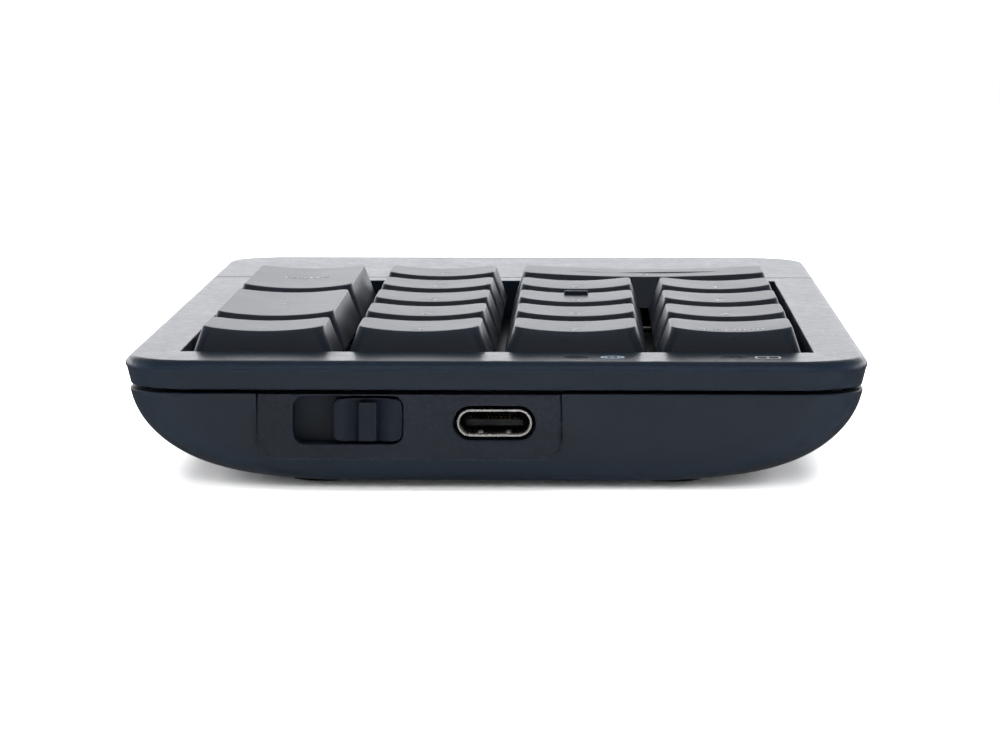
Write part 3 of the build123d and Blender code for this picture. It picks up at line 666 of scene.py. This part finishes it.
@dataclass
class Case:
    """The two-part case with its deck panel."""

    corner: float = 8.6
    roll: float = 1.15
    band_step: float = 0.12
    band_draft: float = 14.0
    well_side: float = 6.35
    well_rear: float = 10.9
    well_front: float = 42.5
    lip_wall: float = 1.2
    deck_gap: float = 0.25
    belly_draft_side: float = 1.6
    belly_reach_side: float = 14.0
    belly_draft_end: float = 0.9
    belly_reach_end: float = 3.4
    belly_growth: float = 5.0
    rim_inset: float = 0.55
    shell_wall: float = 1.8
    shell_floor: float = 1.8
    window_half: Point = (1.55, 1.35)
    window_radius: float = 1.2
    window_setback: float = 2.0
    band_clearance: float = 0.45
    band_edge: float = 0.12
    groove_reach: Point = (3.0, 3.5)
    groove_depth: float = 1.4
    panel_clearance: float = 0.07
    panel_radius: float = 2.5
    screw_recess: Point = (2.2, 2.2)
    foot_recess: Point = (4.6, 0.6)

    def __post_init__(self) -> None:
        """Reads the case's box from the frame."""
        self.low, self.high = corners("top_cover")
        deck_low, deck_high = corners("front_deck_panel")
        shell_low, shell_high = corners("bottom_shell")
        self.top = self.high.z
        self.witness = deck_low.z
        self.seam = deck_high.y
        self.front = deck_low.y
        self.rear = self.high.y
        self.left = self.low.x
        self.right = self.high.x
        self.under = shell_low.z
        self.rim = shell_high.z
        self.band_low = self.rim + self.band_clearance
        self.lip_low = corners("switch_plate")[1].z + 0.1
        self.well = Outline(self.left + self.well_side, self.right - self.well_side,
                            self.front + self.well_front, self.rear - self.well_rear, 0.35, 0.35, 6, 10)

    def windows(self) -> list[Outline]:
        """Openings for the two light windows."""
        low, high = corners("light_pipes")
        half_width, half_depth = self.window_half
        middle_y = (low.y + high.y) / 2
        middles = (high.x - self.window_setback, low.x + self.window_setback)
        return [Outline(x - half_width, x + half_width, middle_y - half_depth, middle_y + half_depth,
                        self.window_radius, self.window_radius, 8, 2) for x in middles]

    def hole(self, outline: Outline, soft: float, top: float, bottom: float) -> list[Ring]:
        """Rings of a hole with a softened mouth."""
        rings = [level(outline.inset(-inset), top - drop) for inset, drop in rounding(soft, 4)]
        return rings + [level(outline, bottom)]

    def cover(self) -> bpy.types.Object:
        """The top cover's rolled slab, with the well and the two windows cut through it."""
        mesh = Mesh("top_cover_shell")
        slab = Outline(self.left, self.right, self.seam + self.deck_gap, self.rear, 0.3, self.corner, 16, 12)
        outer = []
        for inset, drop in rounding(self.roll, 10):
            near = min(inset, 0.12)
            outer.append(level(slab.inset(inset, low=near), self.top - drop))
        outer.append(level(slab, self.witness + 0.02))
        outer.append(level(slab.inset(0.03, low=0.03), self.witness))
        holes = [self.hole(self.well, 0.16, self.top, self.witness)]
        holes += [self.hole(window, 0.08, self.top, self.witness) for window in self.windows()]
        mesh.plate(outer, holes)
        return mesh.make("root", Finish.CASE, "case_plastic")

    def band(self) -> bpy.types.Object:
        """The smooth band under the rolled edge, with the ledge that carries the deck panel."""
        mesh = Mesh("top_cover_band")
        whole = Outline(self.left, self.right, self.front, self.rear, self.corner, self.corner, 16, 12)
        lean = math.tan(math.radians(self.band_draft))
        drop = self.witness - self.band_low
        soft = self.band_edge
        outer = [level(whole.inset(self.band_step), self.witness)]
        outer.append(level(whole.inset(self.band_step + lean * (drop - soft)), self.band_low + soft))
        outer.append(level(whole.inset(self.band_step + lean * drop + 0.04), self.band_low + 0.035))
        outer.append(level(whole.inset(self.band_step + lean * drop + soft), self.band_low))
        holes = [[level(self.well, self.witness), level(self.well, self.band_low)]]
        holes += [[level(window, self.witness), level(window, self.band_low)] for window in self.windows()]
        mesh.plate(outer, holes)
        lip = self.well.inset(-self.lip_wall)
        mesh.plate([level(lip, self.band_low), level(lip, self.lip_low)],
                   [[level(self.well, self.band_low), level(self.well, self.lip_low)]])
        outside, inside = (whole.inset(reach) for reach in self.groove_reach)
        groove = self.band_low - self.groove_depth
        mesh.plate([level(outside, self.band_low), level(outside, groove)],
                   [[level(inside, self.band_low), level(inside, groove)]])
        # The band's finish is the case plastic darkened as painted shade.
        return mesh.make("root", Finish.BAND_SHADED, "case_plastic")

    def deck(self) -> bpy.types.Object:
        """The plain deck panel on the user's side."""
        mesh = Mesh("deck_panel")
        slab = Outline(self.left, self.right, self.front, self.seam, self.corner, 0.3, 16, 12)
        rings = []
        for inset, drop in rounding(self.roll, 10):
            rings.append(level(slab.inset(inset, high=min(inset, 0.12)), self.top - drop))
        rings.append(level(slab, self.witness + 0.02))
        rings.append(level(slab.inset(0.03), self.witness))
        mesh.plate(rings, [])
        return mesh.make("root", Finish.CASE, "case_plastic")

    def belly_ring(self, angle: float, wall: float, soften: float = 0.0) -> Ring:
        """One ring of the lower case.

        Args:
            angle: 0 at the rim, a quarter turn at the underside.
            wall: Inset from the outer surface.
            soften: Further inset at the rim's rounded edge.

        Returns:
            The ring.
        """
        sink, turn = math.sin(angle), 1 - math.cos(angle)
        inset_x = self.rim_inset + wall + soften + self.belly_draft_side * sink + self.belly_reach_side * turn
        inset_y = self.rim_inset + wall + soften + self.belly_draft_end * sink + self.belly_reach_end * turn
        radius = self.corner - self.rim_inset - wall + self.belly_growth * turn
        outline = Outline(self.left + inset_x, self.right - inset_x, self.front + inset_y,
                          self.rear - inset_y, radius, radius, 16, 14)
        return level(outline, self.rim - (self.rim - self.under) * sink)

    def belly(self) -> bpy.types.Object:
        """The lower case: a dish whose walls turn under in an ellipse."""
        height = self.rim - self.under
        quarter = math.pi / 2
        steps = 26
        inner_end = math.asin((height - self.shell_floor) / height)
        rings = [self.belly_ring(inner_end * (1 - k / 8), self.shell_wall) for k in range(9)]
        for inset, drop in rounding(0.15, 3):
            rings.append([(x, y, z - drop) for x, y, z in self.belly_ring(0, 0.0, inset)])
        rings += [self.belly_ring(quarter * k / steps, 0.0) for k in range(1, steps + 1)]
        mesh = Mesh("lower_case")
        mesh.stack(rings)
        piece = mesh.form()
        carve(piece, self.belly_cutters())
        dress(piece, "root", Finish.BELLY, 30.0)
        return piece

    def belly_cutters(self) -> list[bpy.types.Object]:
        """Forms of the port panel's notch, the screw recesses and the feet recesses."""
        low, high = corners("rear_port_panel")
        gap = self.panel_clearance
        face = Outline(low.x - gap, high.x + gap, low.z - gap, high.z + 8,
                       self.panel_radius + gap, 0.1, 10, 2)
        notch = Mesh("notch_cutter").stack([upright(face, low.y - 3), upright(face, high.y + 3)])
        recesses = Mesh("recess_cutter")
        for node, (radius, depth), steps in (("case_screws", self.screw_recess, 40),
                                             ("rubber_feet", self.foot_recess, 64)):
            for x, y in loose_parts(node):
                recesses.stack([circle(x, y, radius, self.under + depth, steps),
                                circle(x, y, radius, self.under - 1, steps)])
        return [notch.form(), recesses.form()]

    def build(self) -> None:
        """Makes the case's pieces and hides the CAD nodes that they stand for."""
        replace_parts(self.cover(), "top_cover")
        self.band()
        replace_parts(self.deck(), "front_deck_panel")
        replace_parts(self.belly(), "bottom_shell")


def loose_parts(node: str) -> list[Point]:
    """Plan centres of the separate solids of a CAD node, in millimetres."""
    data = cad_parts[node].data
    bm = bmesh.new()
    bm.from_mesh(data)
    bmesh.ops.remove_doubles(bm, verts=bm.verts, dist=0.001 * MM)
    left = set(bm.verts)
    found = []
    while left:
        reached = [left.pop()]
        island = []
        while reached:
            vert = reached.pop()
            island.append(vert.co.copy())
            for edge in vert.link_edges:
                other = edge.other_vert(vert)
                if other in left:
                    left.remove(other)
                    reached.append(other)
        xs = [co.x for co in island]
        ys = [co.y for co in island]
        found.append(((min(xs) + max(xs)) / 2 / MM, (min(ys) + max(ys)) / 2 / MM))
    bm.free()
    return sorted(found)


# ---------------------------------------------------------------- ports


@dataclass
class Ports:
    """The port panel with the USB-C socket and the power switch's knob."""

    panel_radius: float = 2.5
    bevel: float = 0.35
    cutout_margin: float = 0.43
    slot_radius: float = 1.4
    slot_width: float = 13.1
    slot_height: float = 5.8
    usb_wall: float = 0.26
    rib: float = 2.05
    scoop_depth: float = 1.0
    scoop_width: float = 2.3
    rib_drop: float = 0.45
    knob_radius: float = 1.0
    knob_edge: float = 0.28
    corner_soft: float = 0.07
    end_gap: float = 0.1
    backing_margin: float = 0.8
    backing_thickness: float = 1.45

    def __post_init__(self) -> None:
        """Reads the places of the ports from the frame."""
        self.low, self.high = corners("rear_port_panel")
        self.usb_low, self.usb_high = corners("usb_socket_shell")
        self.knob_low, self.knob_high = corners("power_switch_knob")
        slot_left = self.knob_low.x - self.end_gap
        slot_z = (self.knob_low.z + self.knob_high.z) / 2
        self.slot = Outline(slot_left, slot_left + self.slot_width, slot_z - self.slot_height / 2,
                            slot_z + self.slot_height / 2, self.slot_radius, self.slot_radius, 10, 6)
        oval = (self.usb_high.z - self.usb_low.z) / 2
        self.usb = Outline(self.usb_low.x, self.usb_high.x, self.usb_low.z, self.usb_high.z,
                           oval, oval, 14, 6)

    def panel(self) -> bpy.types.Object:
        """The leather-grained panel with its bevelled edge and two cut-outs."""
        face = Outline(self.low.x, self.high.x, self.low.z, self.high.z, self.panel_radius, 0.05, 12, 8)
        front = self.high.y
        outer = [upright(face.inset(self.bevel, high=0.02), front)]
        outer.append(upright(face.inset(self.bevel * 0.93, high=0.02), front - 0.01))
        outer.append(upright(face.inset(0.03, high=0.0), front - self.bevel + 0.03))
        outer.append(upright(face, front - self.bevel - 0.04))
        outer.append(upright(face, self.low.y))
        holes = []
        for outline, soft in ((self.slot, 0.16), (self.usb.inset(-self.cutout_margin), 0.30)):
            rings = [upright(outline.inset(-inset), front - drop) for inset, drop in rounding(soft, 4)]
            holes.append(rings + [upright(outline, self.low.y)])
        mesh = Mesh("port_panel").plate(outer, holes)
        return mesh.make("root", Finish.PANEL, "panel_plastic")

    def backing(self) -> bpy.types.Object:
        """The wall behind the panel, which is the floor of the knob's slot."""
        front = self.low.y - 0.06
        back = front - self.backing_thickness
        margin = self.backing_margin
        face = Outline(self.low.x + margin, self.high.x - margin, self.low.z + margin, self.high.z - 0.1,
                       1.5, 0.3, 4, 4)
        window = self.usb.inset(-0.25)
        mesh = Mesh("port_backing")
        mesh.plate([upright(face, front), upright(face, back)],
                   [[upright(window, front), upright(window, back)]])
        return mesh.make("root", Finish.BELLY, "case_plastic")

    def knob(self) -> bpy.types.Object:
        """The power knob: a rib between two scoops."""
        low, high = self.knob_low, self.knob_high
        face = Outline(low.x, high.x, low.z, high.z, self.knob_radius, self.knob_radius, 10, 8)
        rings = [upright(face.inset(inset), high.y - drop) for inset, drop in rounding(self.knob_edge, 6)]
        rings.append(upright(face, low.y))
        piece = Mesh("power_knob").stack(rings).form()
        middle = (low.x + high.x) / 2
        cutters = [self.scoop(middle, side).form() for side in (-1, 1)]
        notch = Mesh("notch")
        shelf = Outline(middle - self.rib / 2 - 0.05, middle + self.rib / 2 + 0.05,
                        high.y - self.scoop_depth, high.y + 1, 0.0, 0.0, 1, 1)
        notch.stack([level(shelf, high.z - self.rib_drop), level(shelf, high.z + 1)])
        cutters.append(notch.form())
        carve(piece, cutters)
        soft = piece.modifiers.new("soft_edges", "BEVEL")
        soft.width = self.corner_soft * MM
        soft.segments = 2
        soft.limit_method = "ANGLE"
        soft.angle_limit = math.radians(40)
        return dress(piece, "power_slider", Finish.KNOB, 50.0)

    def scoop(self, middle: float, side: int) -> Mesh:
        """A finger scoop beside the rib: deepest at the rib, running out to the flat."""
        front = self.knob_high.y
        near = middle + side * self.rib / 2
        points = []
        for step in range(25):
            share = step / 24
            x = near + side * self.scoop_width * share
            sunk = 0.5 + 0.5 * math.cos(math.pi * share ** 0.8)
            points.append((x, front + 0.01 - self.scoop_depth * sunk))
        points.append((near + side * self.scoop_width, front + 1))
        points.append((near, front + 1))
        low, high = self.knob_low.z - 1, self.knob_high.z + 1
        return Mesh("scoop").stack([[(x, y, low) for x, y in points], [(x, y, high) for x, y in points]])

    def socket(self) -> bpy.types.Object:
        """The drawn steel shell of the USB-C socket."""
        front, back = self.usb_high.y, self.usb_low.y
        bore = self.usb.inset(self.usb_wall)
        soft = self.usb_wall * 0.42
        rings = [upright(bore, back + self.usb_wall)]
        rings += [upright(bore.inset(-inset), front - drop) for inset, drop in reversed(rounding(soft, 4))]
        rings += [upright(self.usb.inset(inset), front - drop) for inset, drop in rounding(soft, 4)]
        rings.append(upright(self.usb, back))
        return Mesh("socket_shell").stack(rings).make("root", Finish.SOCKET, "socket_steel")

    def tongue(self) -> bpy.types.Object:
        """The socket's tongue, with rounded edges."""
        low, high = corners("usb_tongue")
        middle_z = (low.z + high.z) / 2
        blade = Outline(-3.35, 3.35, middle_z - 0.35, middle_z + 0.35, 0.2, 0.2, 4, 4)
        rings = [upright(blade.inset(inset), high.y - drop) for inset, drop in rounding(0.15, 3)]
        mesh = Mesh("socket_tongue").stack(rings + [upright(blade, low.y)])
        block = self.usb.inset(0.35)
        mesh.stack([upright(block, low.y + 1.2), upright(block, low.y)])
        return mesh.make("root", Finish.TONGUE, "contact_plastic")

    def contacts(self) -> bpy.types.Object:
        """Gold contacts on both faces of the tongue."""
        low, high = corners("usb_tongue")
        middle_z = (low.z + high.z) / 2
        mesh = Mesh("socket_contacts")
        for index in range(12):
            x = (index - 5.5) * 0.5
            for side in (-1, 1):
                z = middle_z + side * 0.36
                pad = Outline(x - 0.12, x + 0.12, low.y + 1.2, high.y - 1.0, 0.05, 0.1, 3, 1)
                mesh.stack([level(pad, z - 0.02), level(pad, z + 0.02)])
        return mesh.make("root", Finish.GOLD, "spring_steel")

    def tabs(self) -> bpy.types.Object:
        """Two spring tabs on the floor of the shell."""
        mesh = Mesh("socket_tabs")
        floor = self.usb_low.z + self.usb_wall
        for side in (-1, 1):
            x = side * 1.65
            rings = []
            for y, lift in ((-2.6, 0.02), (-1.4, 0.32), (-0.9, 0.34), (-0.55, 0.12)):
                blade = Outline(x - 0.3, x + 0.3, floor + lift - 0.06, floor + lift + 0.06, 0.05, 0.05, 3, 1)
                rings.append(upright(blade, self.usb_high.y + y))
            mesh.stack(rings)
        return mesh.make("root", Finish.SOCKET, "socket_steel")

    def build(self) -> None:
        """Makes the ports' pieces."""
        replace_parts(self.panel(), "rear_port_panel")
        self.backing()
        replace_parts(self.knob(), "power_switch_knob")
        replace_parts(self.socket(), "usb_socket_shell")
        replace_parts(self.tongue(), "usb_tongue")
        self.contacts()
        self.tabs()


# ---------------------------------------------------------------- keys


@dataclass
class Keycap:
    """One dished, tapered keycap."""

    name: str
    legend: str
    legend_size: float = 3.3
    legend_rear: float = 3.1
    legend_middle: bool = False
    height: float = 5.0
    side_taper: float = 1.6
    rear_taper: float = 1.7
    front_taper: float = 3.9
    wall: float = 1.0
    base_radius: float = 1.1
    top_radius: float = 1.5
    dish: float = 0.6
    edge: float = 0.22
    roof: float = 1.3
    legend_lift: float = 0.014
    legend_thickness: float = 0.006

    def __post_init__(self) -> None:
        """Reads the cap's place and size from the frame."""
        low, high = corners(f"keycap_{self.name}")
        self.x = (low.x + high.x) / 2
        self.left, self.right, self.front, self.rear = low.x, high.x, low.y, high.y
        self.top = corners("keycap_eight")[1].z + 0.02
        self.low = self.top - self.height
        half_top = (self.right - self.left) / 2 - self.side_taper
        self.bend = (half_top ** 2 + self.dish ** 2) / (2 * self.dish)

    def surface(self, x: float) -> float:
        """Height of the dished top at a distance across the key."""
        across = x - self.x
        return self.top - self.dish + self.bend - math.sqrt(self.bend ** 2 - across ** 2)

    def outline(self, z: float, inset: float) -> Outline:
        """The cap's outline at a height."""
        share = (z - self.low) / self.height
        side = inset + self.side_taper * share
        radius = max(self.base_radius + (self.top_radius - self.base_radius) * share - inset * 0.6, 0.05)
        return Outline(self.left + side, self.right - side, self.front + inset + self.front_taper * share,
                       self.rear - inset - self.rear_taper * share, radius, radius, 8, 22)

    def draped(self, inset: float, drop: float) -> Ring:
        """A ring that follows the dish, drop below it."""
        points = self.outline(self.top, inset).loop()
        heights = [self.top] * len(points)
        for _ in range(3):
            heights = [self.surface(x) - drop for x, y in points]
            points = [self.outline(z, inset).loop()[index] for index, z in enumerate(heights)]
        return [(x, y, z) for (x, y), z in zip(points, heights)]

    def cap(self) -> bpy.types.Object:
        """The cap as one closed, hollow form."""
        ceiling = self.top - self.dish - self.roof
        rings = [level(self.outline(ceiling, self.wall), ceiling)]
        rings.append(level(self.outline(self.low, self.wall), self.low))
        rings.append(level(self.outline(self.low, 0.12), self.low))
        rings.append(level(self.outline(self.low + 0.12, 0.0), self.low + 0.12))
        rings.append(level(self.outline(self.low + 2.2, 0.0), self.low + 2.2))
        rings.append(self.draped(0.0, self.edge + 0.5))
        for inset, drop in reversed(rounding(self.edge, 5)):
            rings.append(self.draped(inset, drop))
        flat = self.outline(self.top, 0.0)
        reach = min(flat.right - flat.left, flat.high - flat.low) / 2
        for share in (0.12, 0.3, 0.55, 0.8, 0.995):
            rings.append(self.draped(self.edge + (reach - self.edge) * share, 0.0))
        mesh = Mesh(f"cap_{self.name}").stack(rings)
        self.mount(mesh, ceiling)
        if self.name == "five":
            self.homing_bar(mesh)
        return mesh.make(f"key_{self.name}", Finish.KEY, "key_plastic", 50.0)

    def mount(self, mesh: Mesh, ceiling: float) -> None:
        """The pad and the two prongs that hold the stem."""
        low, high = corners(f"stem_{self.name}")
        middle_y = (low.y + high.y) / 2
        turned = high.y - low.y > high.x - low.x
        for across, deep, offset, bottom, top in ((4.8, 2.1, 0.0, high.z, ceiling + 0.1),
                                                  (0.6, 1.5, 3.6, high.z - 2.6, high.z),
                                                  (0.6, 1.5, -3.6, high.z - 2.6, high.z)):
            centre = (self.x, middle_y + offset) if turned else (self.x + offset, middle_y)
            half = (deep, across) if turned else (across, deep)
            block = Outline(centre[0] - half[0], centre[0] + half[0],
                            centre[1] - half[1], centre[1] + half[1], 0.2, 0.2, 3, 1)
            mesh.stack([level(block.inset(0.1), bottom), level(block, bottom + 0.1), level(block, top)])

    def homing_bar(self, mesh: Mesh) -> None:
        """The raised bar that a finger finds on the middle key."""
        middle_y = (self.front + self.rear) / 2 - 3.4
        bar = Outline(self.x - 1.6, self.x + 1.6, middle_y - 0.4, middle_y + 0.4, 0.25, 0.25, 5, 2)
        top = self.top - self.dish + 0.52
        rings = [level(bar.inset(inset), top - drop) for inset, drop in rounding(0.2, 4)]
        mesh.stack(rings + [level(bar, self.top - self.dish - 0.2)])

    def print_legend(self) -> bpy.types.Object:
        """The printed legend, laid on the dish."""
        curve = bpy.data.curves.new(f"legend_{self.name}", "FONT")
        curve.body = self.legend
        curve.size = self.legend_size * MM
        curve.extrude = self.legend_thickness * MM
        curve.align_x = "CENTER"
        curve.align_y = "CENTER"
        curve.resolution_u = 4
        writing = bpy.data.objects.new(f"legend_{self.name}", curve)
        bpy.context.scene.collection.objects.link(writing)
        bpy.context.view_layer.update()
        data = bpy.data.meshes.new_from_object(writing.evaluated_get(bpy.context.evaluated_depsgraph_get()))
        bpy.data.objects.remove(writing)
        flat = self.outline(self.top, 0.0)
        middle_y = (flat.low + flat.high) / 2 if self.legend_middle else flat.high - self.legend_rear
        for vert in data.vertices:
            x = self.x + vert.co.x / MM
            z = self.surface(x) + self.legend_lift + vert.co.z / MM
            vert.co = (x * MM, middle_y * MM + vert.co.y, z * MM)
        piece = bpy.data.objects.new(f"legend_{self.name}", data)
        bpy.context.scene.collection.objects.link(piece)
        return dress(piece, f"key_{self.name}", Finish.INK, 30.0)

    def build(self) -> None:
        """Makes the cap and its legend."""
        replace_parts(self.cap(), f"keycap_{self.name}")
        self.print_legend()


KEYS = (
    Keycap("num", "num lock", 2.2, legend_rear=2.3),
    Keycap("divide", "/"), Keycap("multiply", "*"), Keycap("minus", "−"),
    Keycap("seven", "7"), Keycap("eight", "8"), Keycap("nine", "9"),
    Keycap("four", "4"), Keycap("five", "5"), Keycap("six", "6"),
    Keycap("plus", "+", 2.6, legend_middle=True),
    Keycap("one", "1"), Keycap("two", "2"), Keycap("three", "3"),
    Keycap("enter", "enter", 3.4, legend_middle=True),
    Keycap("zero", "0"), Keycap("decimal", "."),
)


# ---------------------------------------------------------------- return springs


@dataclass
class Spring:
    """The return spring of one switch."""

    key: Keycap
    travel: float = 3.0
    reach: float = 5.0

    def __post_init__(self) -> None:
        """Finds the switch's middle."""
        self.x = self.key.x
        self.y = (self.key.front + self.key.rear) / 2

    def holds(self, place: Vector) -> bool:
        """Whether a point of the shared node belongs to this switch."""
        return abs(place.x / MM - self.x) < self.reach and abs(place.y / MM - self.y) < self.reach

    def build(self) -> None:
        """Copies this switch's coils and lets them ride on the root body."""
        coils = bmesh.new()
        coils.from_mesh(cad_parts["switch_springs"].data)
        away = [vert for vert in coils.verts if not self.holds(vert.co)]
        bmesh.ops.delete(coils, geom=away, context="VERTS")
        data = bpy.data.meshes.new(f"spring_{self.key.name}")
        coils.to_mesh(data)
        coils.free()
        piece = bpy.data.objects.new(data.name, data)
        bpy.context.scene.collection.objects.link(piece)
        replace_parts(dress(piece, "root", Finish.STEEL, 60.0), "switch_springs")
        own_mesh(piece)


# ---------------------------------------------------------------- small parts


@dataclass
class Trim:
    """Light windows, printed icons, feet, and the finishes of the pieces inside."""

    case: Case
    ink: float = 0.012
    ink_lift: float = 0.004
    foot_radius: float = 4.5

    def lenses(self) -> bpy.types.Object:
        """The smoked light windows, domed a little at the edge."""
        mesh = Mesh("light_windows")
        bottom = corners("light_pipes")[0].z
        top = self.case.top - 0.02
        for window in self.case.windows():
            lens = window.inset(0.05)
            rings = [level(lens.inset(inset), top - drop) for inset, drop in rounding(0.12, 4)]
            mesh.stack(rings + [level(lens, bottom)])
        return mesh.make("root", Finish.LENS, "light_window")

    def icons(self) -> None:
        """A plain ring with a dot, and a framed numeral, printed beside the windows."""
        z = self.case.top + self.ink_lift
        top = z + self.ink
        ring_at, frame_at = self.case.windows()
        x = ring_at.left - 2.85
        y = (ring_at.low + ring_at.high) / 2
        mesh = Mesh("icon_ring")
        outer, inner, dot = ([circle(x, y, radius, top), circle(x, y, radius, z)]
                             for radius in (1.45, 1.12, 0.32))
        mesh.plate(outer, [inner])
        mesh.stack(dot)
        for side in (-1, 1):
            bar = Outline(x + side * 0.72 - 0.12, x + side * 0.72 + 0.12, y - 0.5, y + 0.5, 0.1, 0.1, 3, 1)
            mesh.stack([level(bar, top), level(bar, z)])
        mesh.make("root", Finish.ICON, "case_plastic")
        x = frame_at.left - 2.6
        mesh = Mesh("icon_frame")
        frame_edge = Outline(x - 1.55, x + 1.55, y - 1.35, y + 1.35, 0.6, 0.6, 6, 2)
        opening = frame_edge.inset(0.3)
        mesh.plate([level(frame_edge, top), level(frame_edge, z)], [[level(opening, top), level(opening, z)]])
        stroke = Outline(x - 0.14, x + 0.14, y - 0.75, y + 0.75, 0.02, 0.02, 2, 1)
        mesh.stack([level(stroke, top), level(stroke, z)])
        mesh.make("root", Finish.INK, "case_plastic")

    def feet(self) -> bpy.types.Object:
        """Rubber feet with a softened edge."""
        mesh = Mesh("feet")
        low, high = corners("rubber_feet")
        for x, y in loose_parts("rubber_feet"):
            rings = [circle(x, y, self.foot_radius - inset, drop, 64) for inset, drop in rounding(0.45, 6)]
            mesh.stack(rings + [circle(x, y, self.foot_radius, high.z, 64)])
        return mesh.make("root", Finish.RUBBER, "foot_rubber")

    def finish_frame(self) -> None:
        """Gives the CAD nodes that stay their finishes."""
        finishes = {
            "switch_plate": Finish.PLATE, "main_board": Finish.BOARD, "switch_bases": Finish.HOUSING,
            "switch_tops": Finish.HOUSING, "slide_switch_can": Finish.SOCKET,
            "slide_switch_lever": Finish.TONGUE, "battery_cell": Finish.FOIL, "battery_leads": Finish.JACKET,
            "battery_connector": Finish.NYLON, "status_leds": Finish.LED, "controller_chip": Finish.CHIP,
            "case_screws": Finish.STEEL, "stabilizer_clips": Finish.HOUSING,
        }
        for name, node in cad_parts.items():
            finish = finishes.get(name)
            if name.startswith("stem_"):
                finish = Finish.STEM
            if name.startswith("stabilizer_wire"):
                finish = Finish.STEEL
            if finish is None:
                continue
            node.data.materials.clear()
            node.data.materials.append(FINISHES.get(finish))

    def build(self) -> None:
        """Makes the trim."""
        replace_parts(self.lenses(), "light_pipes")
        self.icons()
        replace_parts(self.feet(), "rubber_feet")
        self.finish_frame()


def main() -> None:
    """Builds the studio and the keypad, sub-assembly by sub-assembly."""
    logging.basicConfig(level=logging.INFO, format="%(name)s: %(message)s")
    Studio().build()
    case = Case()
    case.build()
    Ports().build()
    for key in KEYS:
        key.build()
        Spring(key).build()
    Trim(case).build()


if __name__ == "__main__":
    main()
